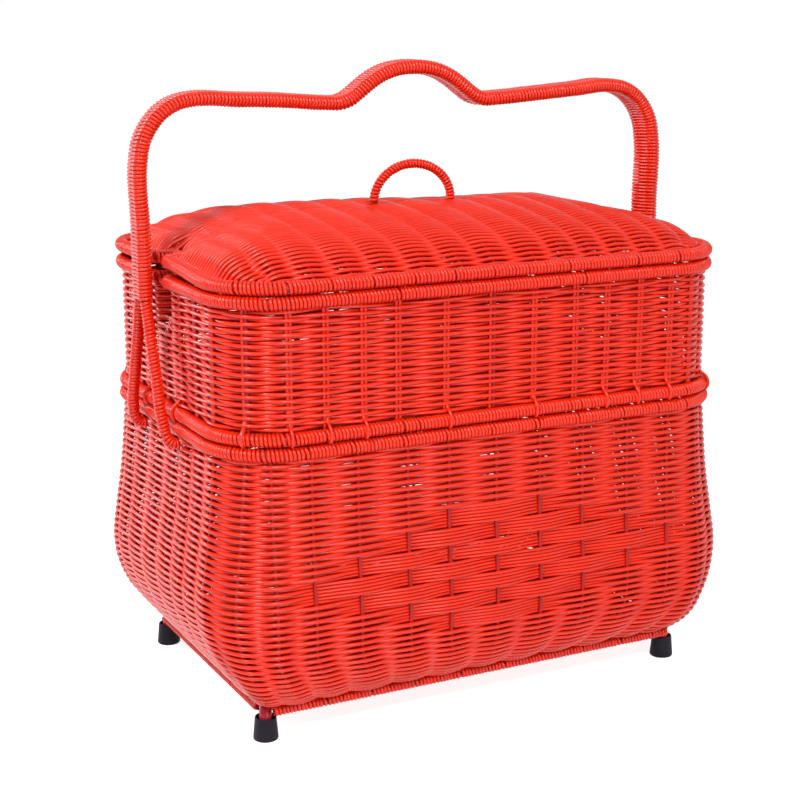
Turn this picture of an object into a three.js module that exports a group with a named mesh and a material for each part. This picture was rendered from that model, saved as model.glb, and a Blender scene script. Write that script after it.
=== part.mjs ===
// Woven picnic basket with a lift-out tray, a domed lid and a fixed carry handle.
// Millimetres. X runs along the long side, Y across it and Z up. The front looks along -Y.
// The floor is Z = 0 and the basket is centred on X = 0, Y = 0.

import * as THREE from 'three';

// Clearance between pieces that touch
const CLEARANCE = 0.3;

// Overall height, to the top of the arch in the carry handle
const TOTAL_HEIGHT = 500;

// Plan of the lower basket at its rim: half length, half depth and corner radius
const HALF_LENGTH = 216;
const HALF_DEPTH = 143;
const CORNER_RADIUS = 50;
const LOWER_RIM_Z = 229;
const TRAY_RIM_SPACING = 98.7;

// Bound rims: a steel rod with plastic rattan wound round it
const RIM_ROD_RADIUS = 3;
const RIM_OUTER_RADIUS = 5.3;
const RIM_INNER_RADIUS = RIM_ROD_RADIUS + 0.4;
const RIM_BINDING_GAP = 6;

// Centre lines of the four bound rims, each standing on the one below and just inside it
const RIM_SEAT_GAP = 0.4;
const UPPER_CORNER_RADIUS = CORNER_RADIUS - 0.5;
const TRAY_BASE_Z = LOWER_RIM_Z + 2 * RIM_OUTER_RADIUS + RIM_SEAT_GAP;
const TRAY_TOP_Z = TRAY_BASE_Z + TRAY_RIM_SPACING;
const LID_Z = TRAY_TOP_Z + 2 * RIM_OUTER_RADIUS + CLEARANCE;
const LOWER_RIM = { x: HALF_LENGTH, y: HALF_DEPTH, r: CORNER_RADIUS, z: LOWER_RIM_Z };
const TRAY_BASE_RIM = { x: HALF_LENGTH - 0.6, y: HALF_DEPTH - 0.4, r: UPPER_CORNER_RADIUS, z: TRAY_BASE_Z };
const TRAY_TOP_RIM = { x: HALF_LENGTH - 1, y: HALF_DEPTH - 0.8, r: UPPER_CORNER_RADIUS, z: TRAY_TOP_Z };
const LID_RIM = { x: HALF_LENGTH - 1, y: HALF_DEPTH - 0.5, r: UPPER_CORNER_RADIUS, z: LID_Z };

// Notch in the middle of each short side of the tray and lid, where a handle leg passes
const NOTCH_DEPTH = 15;
const NOTCH_FLAT = 12;
const NOTCH_BLEND = 10;

// Woven walls
const WALL_THICKNESS = 6;
const LOWER_WALL_BOTTOM = 28.5;
const LOWER_WALL_TOP = LOWER_RIM_Z - RIM_OUTER_RADIUS - CLEARANCE;
// Rise above the wall's bottom, and offsets from the rim's half length, half depth and corner radius
const BELLY_POINTS = [
  { rise: 0, x: -25, y: -18, r: -36 },
  { rise: 8.5, x: -14.5, y: -7.5, r: -30 },
  { rise: 17.5, x: -6, y: -0.5, r: -25 },
  { rise: 31.5, x: 3, y: 4.5, r: -18 },
  { rise: 49.5, x: 10, y: 6.7, r: -12 },
  { rise: 75.5, x: 14, y: 7, r: -8 },
  { rise: 103.5, x: 11.5, y: 4.6, r: -5 },
  { rise: 136.5, x: 7, y: 2.2, r: -3 },
  { rise: 167.5, x: 3.8, y: 1, r: -1 },
  { rise: 194.9, x: 1.8, y: 0.8, r: 0 },
];
const BELLY_RISE = BELLY_POINTS[BELLY_POINTS.length - 1].rise;
const LOWER_WALL_PROFILE = BELLY_POINTS.map(({ rise, x, y, r }) => ({
  z: LOWER_WALL_BOTTOM + (rise / BELLY_RISE) * (LOWER_WALL_TOP - LOWER_WALL_BOTTOM),
  x: HALF_LENGTH + x,
  y: HALF_DEPTH + y,
  r: Math.max(CORNER_RADIUS + r, 8),
}));
const LOWER_WALL_BASE = LOWER_WALL_PROFILE[0];
const TRAY_WALL = { x: HALF_LENGTH, y: HALF_DEPTH - 0.4, r: UPPER_CORNER_RADIUS };
const TRAY_WALL_BOTTOM = TRAY_BASE_RIM.z + RIM_OUTER_RADIUS + CLEARANCE;
const TRAY_WALL_TOP = TRAY_TOP_RIM.z - RIM_OUTER_RADIUS - CLEARANCE;
const TRAY_NOTCH_BOTTOM = TRAY_WALL_TOP - 41.1;
const TRAY_NOTCH_STEPS = [13, 27];

// Main relief of the weave: a ridge at every stake, with a valley midway to the next one
const RIDGE_DEPTH = 2.4;
// Stakes from the middle of the front and of a side, at the belly and round the tray
const LOWER_FRONT_STAKES = [-190, -158, -119, -79, -45, -4, 34, 74, 116, 155, 189];
const LOWER_SIDE_STAKES = [-101, -71, -46, -16, 20, 58, 87, 115];
const TRAY_FRONT_STAKES = [-174, -144, -114, -88, -45, -8, 31, 67, 96, 127, 156, 180];
const TRAY_SIDE_STAKES = [-97, -64, -32, 0, 32, 64, 97];
// How far the outermost of them stands from the end of the wall
const LOWER_STAKE_MARGIN = { x: 40, y: 35 };
const TRAY_STAKE_MARGIN = { x: 36, y: 45.6 };
// Block weave on the front: bands that pass over and behind the stakes by turns, in a diamond
const DIAMOND_TOP = LOWER_WALL_BOTTOM + 140;
const DIAMOND_BANDS = 7;
const DIAMOND_REACH = 4;
const DIAMOND_MIDDLE_STAKE = 5;
const BAND_HEIGHT = 13.6;
const DIAMOND_BOTTOM = DIAMOND_TOP - DIAMOND_BANDS * BAND_HEIGHT;
const DIAMOND_MARGIN = 3.5;
const BLOCK_RECESS = 3.2;

// Woven floors and the rods that carry them
const FLOOR_THICKNESS = 5;
const FLOOR_INSET = 10;
const LOWER_FLOOR_BOTTOM = LOWER_WALL_BOTTOM;
const LOWER_FLOOR_HALF_X = LOWER_WALL_BASE.x - FLOOR_INSET;
const LOWER_FLOOR_HALF_Y = LOWER_WALL_BASE.y - FLOOR_INSET;
const LOWER_FLOOR_RADIUS = 18;
const TRAY_FLOOR_BOTTOM = TRAY_BASE_RIM.z - 0.5;
const LOWER_CROSS_ROD_RADIUS = 2.5;
const TRAY_CROSS_ROD_RADIUS = 2;
const LOWER_CROSS_ROD_X = [-100, 0, 100];
const TRAY_CROSS_ROD_X = [-72, 72];

// Bound base bars between the legs
const BASE_BAR_OUTER_RADIUS = 4.2;
const BASE_BAR_Z = LOWER_WALL_BOTTOM - BASE_BAR_OUTER_RADIUS - CLEARANCE;
const BASE_BAR_ROD_RADIUS = 2.4;
const BASE_BAR_INNER_RADIUS = BASE_BAR_ROD_RADIUS + 0.4;

// Legs and rubber feet
const LEG_X = LOWER_WALL_BASE.x - 8.5;
const LEG_Y = LOWER_WALL_BASE.y - 14.5;
const LEG_RADIUS = 4.8;
const LEG_TOP = LOWER_FLOOR_BOTTOM - CLEARANCE;
const FOOT_HEIGHT = 18;
const FOOT_BOTTOM_RADIUS = 9.7;
const FOOT_TOP_RADIUS = 8.1;
const FOOT_BORE_BOTTOM = 5;

// Upright rods of the two frames, just inside the weave at each corner
const POST_RADIUS = 2.5;

// Carry handle: two steel rods bound side by side, parting below the split
const HANDLE_HALF_THICKNESS = 5.9;
const HANDLE_ROD_RADIUS = 3;
const HANDLE_ROD_Y = 8.1;
const HANDLE_SLEEVE_RADIUS = HANDLE_ROD_RADIUS + 0.5;
const LEG_BINDING_RADIUS = 4.8;
const HANDLE_PLAY = 4.4;
const HANDLE_LEG_X = LOWER_RIM.x + RIM_OUTER_RADIUS + HANDLE_PLAY + LEG_BINDING_RADIUS;
const HANDLE_SPLIT_Z = TRAY_TOP_RIM.z - 13.7;
const ARCH_TOP_Z = TOTAL_HEIGHT - HANDLE_HALF_THICKNESS;
// Half of the handle's centre line from the arch to the split, as X and Z
const HANDLE_HALF_PATH = [
  [9, ARCH_TOP_Z - 0.4],
  [18, ARCH_TOP_Z - 1.9],
  [30, ARCH_TOP_Z - 6.3],
  [40, ARCH_TOP_Z - 12.3],
  [49, ARCH_TOP_Z - 19],
  [57, ARCH_TOP_Z - 24.3],
  [64, ARCH_TOP_Z - 26.4],
  [76, ARCH_TOP_Z - 26.2],
  [110, ARCH_TOP_Z - 23.8],
  [150, ARCH_TOP_Z - 20.8],
  [HANDLE_LEG_X - 44.5, ARCH_TOP_Z - 18.5],
  [HANDLE_LEG_X - 30.5, ARCH_TOP_Z - 21],
  [HANDLE_LEG_X - 18.5, ARCH_TOP_Z - 27.5],
  [HANDLE_LEG_X - 9.5, ARCH_TOP_Z - 37],
  [HANDLE_LEG_X - 3, ARCH_TOP_Z - 49],
  [HANDLE_LEG_X, ARCH_TOP_Z - 64],
  [HANDLE_LEG_X, HANDLE_SPLIT_Z + 55],
];
// One rod from the split down to its end under the lower rim, as X, Y and Z
const HANDLE_ROD_TAIL = [
  [HANDLE_LEG_X, 14, HANDLE_SPLIT_Z - 25],
  [HANDLE_LEG_X, 27, LOWER_RIM.z + 33],
  [HANDLE_LEG_X - 0.5, 35.5, LOWER_RIM.z + 5],
  [HANDLE_LEG_X - 2.6, 37.8, LOWER_RIM.z - 5.5],
  [HANDLE_LEG_X - 7, 38.6, LOWER_RIM.z - 10.4],
];
const HANDLE_ROD_END_Z = LOWER_RIM.z - 11;
const HANDLE_ROD_END_Y = 38.8;

// Domed lid: the distance inward from the rim's centre line against the height of the top face
const LID_THICKNESS = 6;
const LID_PROFILE = [
  { d: 5.9, z: LID_RIM.z + 3 },
  { d: 9.5, z: LID_RIM.z + 5.8 },
  { d: 16, z: LID_RIM.z + 10.9 },
  { d: 25, z: LID_RIM.z + 16.9 },
  { d: 40, z: LID_RIM.z + 23.4 },
  { d: 60, z: LID_RIM.z + 28.4 },
  { d: 88, z: LID_RIM.z + 32.9 },
  { d: 122, z: LID_RIM.z + 36.4 },
];
const LID_CENTRE_Z = LID_RIM.z + 37.4;
const LID_CORNER_SHRINK = 0.6;
const LID_NOTCH_FADE = 50;
const LID_NOTCH_SPREAD = 0.55;
const LID_RIDGES = [-200, -175, -147, -117, -88, -58, -27, 1, 37, 65, 90, 116, 143, 170, 198];
const LID_RIDGE_MARGIN = 15;
// Lines of points across the lid, as shares of its half depth, outside the notch's own lines
const LID_ROWS = [0.399, 0.604, 0.75, 0.86, 0.926, 1];
const LID_RIB_RADIUS = 2;
const LID_RIB_COUNT = 5;
const LID_END_RIB_INSET = 63;
const LID_RIB_DROP = 0.25;
const LID_END_RIB_DROP = 0.6;
const LID_BAR_DROP = 2 * LID_RIB_RADIUS + CLEARANCE + 0.5;
const LOOP_HALF_WIDTH = 35;
const LOOP_HEIGHT = 29.5;
const LOOP_SEAT_GAP = 0.7;
const LOOP_ROD_RADIUS = 2.4;
const LOOP_BINDING_RADIUS = 4;

// Colours
const RATTAN_RED = 0xee2f26;
const FRAME_RED = 0x8e1a24;
const RUBBER_BLACK = 0x1b1a20;

// Points along each part of an outline
const CORNER_SEGMENTS = 5;
const LONG_SEGMENTS = 2;

const group = new THREE.Group();
group.name = 'woven_picnic_basket';

function addMesh(name, geometry, color, metalness = 0) {
  const material = new THREE.MeshStandardMaterial({ color, roughness: 0.4, metalness });
  const mesh = new THREE.Mesh(geometry, material);
  mesh.name = name;
  group.add(mesh);
}

function toGeometry(vertices, faces) {
  const geometry = new THREE.BufferGeometry();
  const flat = vertices.flatMap((p) => [p.x, p.y, p.z]);
  geometry.setAttribute('position', new THREE.Float32BufferAttribute(flat, 3));
  geometry.setIndex(faces.flat());
  geometry.computeVertexNormals();
  return geometry;
}

// Rounded rectangle, counter-clockwise from above, with an optional notch in both short sides;
// spread widens the notch, as an offset of its outline does
function planLoop({ x, y, r, z, notch = null, spread = 0 }) {
  const points = [];
  const sideYs = [];
  if (notch === null) {
    sideYs.push(0);
  } else {
    const span = Math.min(NOTCH_FLAT + NOTCH_BLEND + spread, 0.8 * (y - r));
    const flat = (span * (NOTCH_FLAT + spread)) / (NOTCH_FLAT + NOTCH_BLEND + spread);
    sideYs.push(-span, -(span + flat) / 2, -flat, 0, flat, (span + flat) / 2, span);
  }
  const inset = (index) => {
    if (notch === null) return 0;
    return notch * [0, 0.5, 1, 1, 1, 0.5, 0][index];
  };
  const corner = (cx, cy, start) => {
    for (let i = 0; i <= CORNER_SEGMENTS; i += 1) {
      const angle = start + (i / CORNER_SEGMENTS) * (Math.PI / 2);
      points.push(new THREE.Vector3(cx + r * Math.cos(angle), cy + r * Math.sin(angle), z));
    }
  };
  const longSide = (fromX, toX, atY) => {
    for (let i = 1; i < LONG_SEGMENTS; i += 1) {
      points.push(new THREE.Vector3(fromX + ((toX - fromX) * i) / LONG_SEGMENTS, atY, z));
    }
  };
  longSide(x - r, -(x - r), y);
  corner(-(x - r), y - r, Math.PI / 2);
  [...sideYs].reverse().forEach((sideY, i) => {
    points.push(new THREE.Vector3(-(x - inset(i)), sideY, z));
  });
  corner(-(x - r), -(y - r), Math.PI);
  longSide(-(x - r), x - r, -y);
  corner(x - r, -(y - r), 1.5 * Math.PI);
  sideYs.forEach((sideY, i) => {
    points.push(new THREE.Vector3(x - inset(i), sideY, z));
  });
  corner(x - r, y - r, 0);
  return points;
}

// Skin through closed loops of equal length; the loops themselves close on the first one
function loftRing(loops) {
  const count = loops[0].length;
  const faces = [];
  for (let k = 0; k < loops.length; k += 1) {
    const a = k * count;
    const b = ((k + 1) % loops.length) * count;
    for (let i = 0; i < count; i += 1) {
      const j = (i + 1) % count;
      faces.push([a + i, a + j, b + j], [a + i, b + j, b + i]);
    }
  }
  return toGeometry(loops.flat(), faces);
}

// Wall between an outer and an inner skin of closed loops, listed upwards. Keys are the places of a
// loop's points along it, from 0 up to span, and match the two skins at the bottom and the top.
function loftWall(outerLoops, innerLoops, outerKeys, innerKeys, span) {
  const n = outerKeys.length;
  const m = innerKeys.length;
  const innerStart = outerLoops.length * n;
  const faces = [];
  const addSkin = (start, loops, count, flip) => {
    for (let k = 0; k + 1 < loops; k += 1) {
      for (let i = 0; i < count; i += 1) {
        const a = start + k * count + i;
        const b = start + k * count + ((i + 1) % count);
        if (flip) faces.push([b, a, a + count], [b, a + count, b + count]);
        else faces.push([a, b, b + count], [a, b + count, a + count]);
      }
    }
  };
  addSkin(0, outerLoops.length, n, false);
  addSkin(innerStart, innerLoops.length, m, true);
  const keyOf = (keys, index) => keys[index % keys.length] + (index < keys.length ? 0 : span);
  const addEnd = (outerRow, innerRow, upward) => {
    const outerAt = (i) => outerRow * n + (i % n);
    const innerAt = (j) => innerStart + innerRow * m + (j % m);
    let i = 0;
    let j = 0;
    while (i < n || j < m) {
      const outerNext = j === m || (i < n && keyOf(outerKeys, i + 1) <= keyOf(innerKeys, j + 1));
      const face = [outerAt(i), outerNext ? outerAt(i + 1) : innerAt(j + 1), innerAt(j)];
      faces.push(upward ? face : face.reverse());
      if (outerNext) i += 1;
      else j += 1;
    }
  };
  addEnd(0, 0, false);
  addEnd(outerLoops.length - 1, innerLoops.length - 1, true);
  return toGeometry([...outerLoops.flat(), ...innerLoops.flat()], faces);
}

// Skin through closed loops of equal length, shut by one point below and one above
function loftCapped(loops, firstPoint, lastPoint) {
  const count = loops[0].length;
  const vertices = [...loops.flat(), firstPoint, lastPoint];
  const first = vertices.length - 2;
  const last = vertices.length - 1;
  const faces = [];
  for (let i = 0; i < count; i += 1) {
    const j = (i + 1) % count;
    faces.push([first, j, i]);
    for (let k = 0; k + 1 < loops.length; k += 1) {
      const a = k * count;
      const b = a + count;
      faces.push([a + i, a + j, b + j], [a + i, b + j, b + i]);
    }
    const top = (loops.length - 1) * count;
    faces.push([last, top + i, top + j]);
  }
  return toGeometry(vertices, faces);
}

// Regular polygon section
function roundSection(radius, sides) {
  const section = [];
  for (let i = 0; i < sides; i += 1) {
    const angle = ((i + 0.5) / sides) * 2 * Math.PI;
    section.push([radius * Math.cos(angle), radius * Math.sin(angle)]);
  }
  return section;
}

// The same polygon, with its radius measured to the flats
function flatSection(radius, sides) {
  return roundSection(radius / Math.cos(Math.PI / sides), sides);
}

// Section with two half rounds joined by flats, its long way along the second axis
function stadiumSection(radius, halfSpacing, sidesPerEnd) {
  const section = [];
  [1, -1].forEach((end) => {
    for (let i = 0; i <= sidesPerEnd; i += 1) {
      const angle = (i / sidesPerEnd) * Math.PI + (end === 1 ? 0 : Math.PI);
      section.push([radius * Math.cos(angle), radius * Math.sin(angle) + end * halfSpacing]);
    }
  });
  return section;
}

// Section outlines placed square to a path; side is the direction kept by the second axis
function placeSections(path, section, side, closed) {
  const last = path.length - 1;
  return path.map((point, i) => {
    const before = path[closed ? (i + last) % path.length : Math.max(i - 1, 0)];
    const after = path[closed ? (i + 1) % path.length : Math.min(i + 1, last)];
    const tangent = new THREE.Vector3().subVectors(after, before).normalize();
    const first = new THREE.Vector3().crossVectors(side, tangent).normalize();
    const second = new THREE.Vector3().crossVectors(tangent, first).normalize();
    return section.map(([u, v]) => point.clone().addScaledVector(first, u).addScaledVector(second, v));
  });
}

// Solid rod along a path
function rod(path, section, side, closed = false) {
  const loops = placeSections(path, section, side, closed);
  if (closed) return loftRing(loops);
  return loftCapped(loops, path[0], path[path.length - 1]);
}

// Sleeve along a stretch of a path, open at both ends
function sleeve(wholePath, outerSection, innerSection, side, from = 0, to = wholePath.length - 1) {
  const path = wholePath.slice(from, to + 1);
  const outer = placeSections(wholePath, outerSection, side, false).slice(from, to + 1);
  const inner = placeSections(wholePath, innerSection, side, false).slice(from, to + 1);
  const outerCount = outerSection.length;
  const innerCount = innerSection.length;
  const vertices = [...outer.flat(), ...inner.flat()];
  const innerStart = path.length * outerCount;
  const faces = [];
  for (let k = 0; k + 1 < path.length; k += 1) {
    for (let i = 0; i < outerCount; i += 1) {
      const j = (i + 1) % outerCount;
      const a = k * outerCount;
      const b = a + outerCount;
      faces.push([a + i, a + j, b + j], [a + i, b + j, b + i]);
    }
    for (let i = 0; i < innerCount; i += 1) {
      const j = (i + 1) % innerCount;
      const a = innerStart + k * innerCount;
      const b = a + innerCount;
      faces.push([a + j, a + i, b + i], [a + j, b + i, b + j]);
    }
  }
  const addEnd = (k, flip) => {
    const hole = [innerSection.map(([u, v]) => new THREE.Vector2(u, v))];
    const outline = outerSection.map(([u, v]) => new THREE.Vector2(u, v));
    THREE.ShapeUtils.triangulateShape(outline, hole).forEach(([a, b, c]) => {
      const map = (n) => {
        if (n < outerCount) return k * outerCount + n;
        return innerStart + k * innerCount + (n - outerCount);
      };
      const face = [map(a), map(b), map(c)];
      const [p, q, s] = [a, b, c].map((n) => [...outline, ...hole[0]][n]);
      const area = (q.x - p.x) * (s.y - p.y) - (s.x - p.x) * (q.y - p.y);
      const upward = area > 0;
      faces.push(upward === flip ? face : [face[0], face[2], face[1]]);
    });
  };
  addEnd(0, false);
  addEnd(path.length - 1, true);
  return toGeometry(vertices, faces);
}

const UP = new THREE.Vector3(0, 0, 1);
const ACROSS = new THREE.Vector3(0, 1, 0);
const ALONG = new THREE.Vector3(1, 0, 0);

// The loop cut open at the middle of the back, for a binding whose ends nearly meet
function openLoop(loop, rim) {
  const middle = Math.floor(LONG_SEGMENTS / 2) - 1;
  const turned = [...loop.slice(middle + 1), ...loop.slice(0, middle)];
  const start = new THREE.Vector3(-RIM_BINDING_GAP / 2, rim.y, rim.z);
  const end = new THREE.Vector3(RIM_BINDING_GAP / 2, rim.y, rim.z);
  return [start, ...turned, end];
}

function addBoundRim(name, rim, notch) {
  const loop = planLoop({ ...rim, notch });
  addMesh(`${name}_rod`, rod(loop, flatSection(RIM_ROD_RADIUS, 6), UP, true), FRAME_RED, 0.4);
  const outer = flatSection(RIM_OUTER_RADIUS, 8);
  const inner = flatSection(RIM_INNER_RADIUS, 6);
  addMesh(`${name}_binding`, sleeve(openLoop(loop, rim), outer, inner, UP), RATTAN_RED);
}

// Inner face of a wall from its outer profile, offset square to the slope
function innerProfile(profile, thickness) {
  return profile.map((ring, i) => {
    const below = profile[Math.max(i - 1, 0)];
    const above = profile[Math.min(i + 1, profile.length - 1)];
    const rise = above.z - below.z;
    const slopeX = (above.x - below.x) / rise;
    const slopeY = (above.y - below.y) / rise;
    const insetX = thickness * Math.hypot(1, slopeX);
    const insetY = thickness * Math.hypot(1, slopeY);
    const radius = Math.max(ring.r - thickness, 6);
    return { z: ring.z, x: ring.x - insetX, y: ring.y - insetY, r: radius };
  });
}

// Point and outward direction on a rounded rectangle, at an arc length from the middle of the front,
// counter-clockwise from above
function outlineAt({ x, y, r }, arc) {
  const a = x - r;
  const b = y - r;
  const turn = (Math.PI / 2) * r;
  const perimeter = 4 * (a + b + turn);
  const stretches = [
    { length: a, from: new THREE.Vector2(0, -y) },
    { length: 2 * b, from: new THREE.Vector2(x, -b) },
    { length: 2 * a, from: new THREE.Vector2(a, y) },
    { length: 2 * b, from: new THREE.Vector2(-x, b) },
    { length: a, from: new THREE.Vector2(-a, -y) },
  ];
  let left = ((arc % perimeter) + perimeter) % perimeter;
  for (let i = 0; i < stretches.length; i += 1) {
    const { length, from } = stretches[i];
    const heading = (i * Math.PI) / 2;
    const ahead = new THREE.Vector2(Math.cos(heading), Math.sin(heading));
    const outward = new THREE.Vector2(ahead.y, -ahead.x);
    if (left <= length || i === stretches.length - 1) {
      return { point: from.clone().addScaledVector(ahead, left), outward };
    }
    left -= length;
    if (left <= turn) {
      const angle = heading - Math.PI / 2 + left / r;
      const direction = new THREE.Vector2(Math.cos(angle), Math.sin(angle));
      const centre = from.clone().addScaledVector(ahead, length).addScaledVector(outward, -r);
      return { point: centre.addScaledVector(direction, r), outward: direction };
    }
    left -= turn;
  }
  return null;
}

// Arc lengths of the stakes: those of the front, right, back and left, with one at each corner
function stakeArcs({ x, y, r }, frontStakes, sideStakes) {
  const a = x - r;
  const b = y - r;
  const turn = (Math.PI / 2) * r;
  const reach = (offset, flat) => {
    const over = THREE.MathUtils.clamp((Math.abs(offset) - flat) / r, 0, 1);
    return Math.sign(offset) * (Math.min(Math.abs(offset), flat) + r * Math.asin(over));
  };
  const front = frontStakes.map((offset) => reach(offset, a));
  const side = sideStakes.map((offset) => reach(offset, b));
  const right = a + turn + b;
  const back = 2 * right;
  return [
    ...front,
    a + turn / 2,
    ...side.map((arc) => right + arc),
    right + b + turn / 2,
    ...front.map((arc) => back - arc).reverse(),
    back + a + turn / 2,
    ...side.map((arc) => back + right - arc).reverse(),
    back + right + b + turn / 2,
  ];
}

// Share of the notch's depth at a place on a short side, with flat sides to its blend
function notchShare(y, spread = 0) {
  const reach = NOTCH_FLAT + NOTCH_BLEND + spread;
  return THREE.MathUtils.clamp((reach - Math.abs(y)) / NOTCH_BLEND, 0, 1);
}

// Places of the points of a woven wall's outline, counted in stakes: one at each stake, and
// those that sharesAfter gives between it and the next one
function wallKeys(stakes, sharesAfter) {
  return stakes.flatMap((arc, k) => [0, ...sharesAfter(k)].map((share) => k + share));
}

// Outline of a woven wall at those places; depthAt gives the depth at a stake
function weaveLoop({ ring, stakes, keys, depthAt, valley = 0, notch = 0 }) {
  const perimeter = 4 * (ring.x + ring.y - 2 * ring.r) + 2 * Math.PI * ring.r;
  return keys.map((key) => {
    const k = Math.floor(key);
    const share = key - k;
    const next = k + 1 < stakes.length ? stakes[k + 1] : stakes[0] + perimeter;
    const { point, outward } = outlineAt(ring, stakes[k] + share * (next - stakes[k]));
    const sunk = share === 0 ? depthAt(k) : (valley * (1 - Math.cos(2 * Math.PI * share))) / 2;
    point.addScaledVector(outward, -sunk);
    if (Math.abs(outward.x) > 0.99) {
      point.x -= Math.sign(point.x) * notch * notchShare(point.y);
    }
    return new THREE.Vector3(point.x, point.y, ring.z);
  });
}

// Smooth belly: the ring of the lower wall at any height
const bellyCurve = new THREE.CubicInterpolant(
  LOWER_WALL_PROFILE.map((ring) => ring.z),
  LOWER_WALL_PROFILE.flatMap((ring) => [ring.x, ring.y, ring.r]),
  3,
);
function bellyRing(z) {
  const [x, y, r] = bellyCurve.evaluate(z);
  return { x, y, r, z };
}

// The places spread to fit a half length, with the outermost one at a margin from its end
function spreadPlaces(places, half, margin) {
  const outermost = Math.max(...places.map(Math.abs));
  return places.map((place) => (place * (half - margin)) / outermost);
}

// The lower wall's stakes are upright from the foot of the diamond, and draw together below it
const widestRing = LOWER_WALL_PROFILE.reduce((a, b) => (a.x > b.x ? a : b));
const lowerFrontPlaces = spreadPlaces(LOWER_FRONT_STAKES, widestRing.x, LOWER_STAKE_MARGIN.x);
const lowerSidePlaces = spreadPlaces(LOWER_SIDE_STAKES, widestRing.y, LOWER_STAKE_MARGIN.y);
const uprightFrom = bellyRing(DIAMOND_BOTTOM);
function lowerStakes(ring) {
  const front = lowerFrontPlaces.map((place) => place * Math.min(ring.x / uprightFrom.x, 1));
  const side = lowerSidePlaces.map((place) => place * Math.min(ring.y / uprightFrom.y, 1));
  return stakeArcs(ring, front, side);
}

// Depth of the front at a stake in a band of the diamond; bands count from its middle one
function blockDepth(stake, band) {
  const column = stake - DIAMOND_MIDDLE_STAKE;
  const behind = (column + band) % 2 === 0 && Math.abs(column) + Math.abs(band) <= DIAMOND_REACH;
  return behind ? BLOCK_RECESS : 0;
}

// Lower basket wall
const onStakes = () => 0;
const clearOfDiamond = LOWER_WALL_PROFILE.map((ring) => ring.z).filter((z) => (
  z < DIAMOND_BOTTOM - 2 * DIAMOND_MARGIN || z > DIAMOND_TOP + 2 * DIAMOND_MARGIN
));
const levels = [...clearOfDiamond, DIAMOND_BOTTOM - DIAMOND_MARGIN, DIAMOND_TOP + DIAMOND_MARGIN];
const lowerLevels = levels.map((z) => ({ z, depthAt: onStakes }));
for (let i = 0; i < DIAMOND_BANDS; i += 1) {
  const z = DIAMOND_TOP - (i + 0.5) * BAND_HEIGHT;
  const band = i - (DIAMOND_BANDS - 1) / 2;
  lowerLevels.push({ z, depthAt: (stake) => blockDepth(stake, band) });
}
lowerLevels.sort((a, b) => a.z - b.z);
const lowerStakeCount = lowerStakes(widestRing).length;
const lowerKeys = wallKeys(lowerStakes(widestRing), () => [0.5]);
// Inside, only the stretches beside a corner stake need a point between two stakes
const lowerCorners = [LOWER_FRONT_STAKES.length, LOWER_FRONT_STAKES.length + LOWER_SIDE_STAKES.length + 1];
const besideCorner = (k) => {
  const place = k % (lowerStakeCount / 2);
  return lowerCorners.some((corner) => place === corner || place === corner - 1) ? [0.5] : [];
};
const lowerInnerKeys = wallKeys(lowerStakes(widestRing), besideCorner);
const lowerOuter = lowerLevels.map(({ z, depthAt }) => {
  const ring = bellyRing(z);
  return weaveLoop({ ring, stakes: lowerStakes(ring), keys: lowerKeys, depthAt, valley: RIDGE_DEPTH });
});
const lowerInner = innerProfile(LOWER_WALL_PROFILE, WALL_THICKNESS).map((ring) => (
  weaveLoop({ ring, stakes: lowerStakes(ring), keys: lowerInnerKeys, depthAt: onStakes })
));
const lowerWall = loftWall(lowerOuter, lowerInner, lowerKeys, lowerInnerKeys, lowerStakeCount);
addMesh('lower_wall', lowerWall, RATTAN_RED);

// Tray wall, straight at the bottom and notched towards the top
const notchHeights = TRAY_NOTCH_STEPS.map((step) => TRAY_NOTCH_BOTTOM + step);
const trayHeights = [TRAY_WALL_BOTTOM, TRAY_NOTCH_BOTTOM, ...notchHeights, TRAY_WALL_TOP];
const trayNotch = (z) => {
  const t = THREE.MathUtils.smoothstep(z, TRAY_NOTCH_BOTTOM, TRAY_WALL_TOP - 4);
  return NOTCH_DEPTH * t;
};
// Beside the middle stake of a short side the points follow the notch, and elsewhere they are those given
const trayFrontPlaces = spreadPlaces(TRAY_FRONT_STAKES, TRAY_WALL.x, TRAY_STAKE_MARGIN.x);
const traySidePlaces = spreadPlaces(TRAY_SIDE_STAKES, TRAY_WALL.y, TRAY_STAKE_MARGIN.y);
const trayStakes = stakeArcs(TRAY_WALL, trayFrontPlaces, traySidePlaces);
const trayShares = (elsewhere) => (k) => {
  const { point, outward } = outlineAt(TRAY_WALL, trayStakes[k]);
  const next = outlineAt(TRAY_WALL, trayStakes[(k + 1) % trayStakes.length]).point;
  if (Math.abs(outward.x) < 0.99 || Math.min(Math.abs(point.y), Math.abs(next.y)) > 1) return elsewhere;
  const gap = Math.abs(next.y - point.y);
  const bend = [NOTCH_FLAT, NOTCH_FLAT + NOTCH_BLEND / 2, NOTCH_FLAT + NOTCH_BLEND].map((y) => y / gap);
  return Math.abs(point.y) < 1 ? bend : bend.map((share) => 1 - share).reverse();
};
const trayKeys = wallKeys(trayStakes, trayShares([0.5]));
const trayInnerKeys = wallKeys(trayStakes, trayShares([]));
const trayLoops = (offset, valley, keys) => trayHeights.map((z) => {
  const ring = { x: TRAY_WALL.x - offset, y: TRAY_WALL.y - offset, r: TRAY_WALL.r - offset, z };
  const stakes = stakeArcs(ring, trayFrontPlaces, traySidePlaces);
  return weaveLoop({ ring, stakes, keys, depthAt: onStakes, valley, notch: trayNotch(z) });
});
const trayOuterLoops = trayLoops(0, RIDGE_DEPTH, trayKeys);
const trayInnerLoops = trayLoops(WALL_THICKNESS, 0, trayInnerKeys);
const trayWall = loftWall(trayOuterLoops, trayInnerLoops, trayKeys, trayInnerKeys, trayStakes.length);
addMesh('tray_wall', trayWall, RATTAN_RED);

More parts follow.
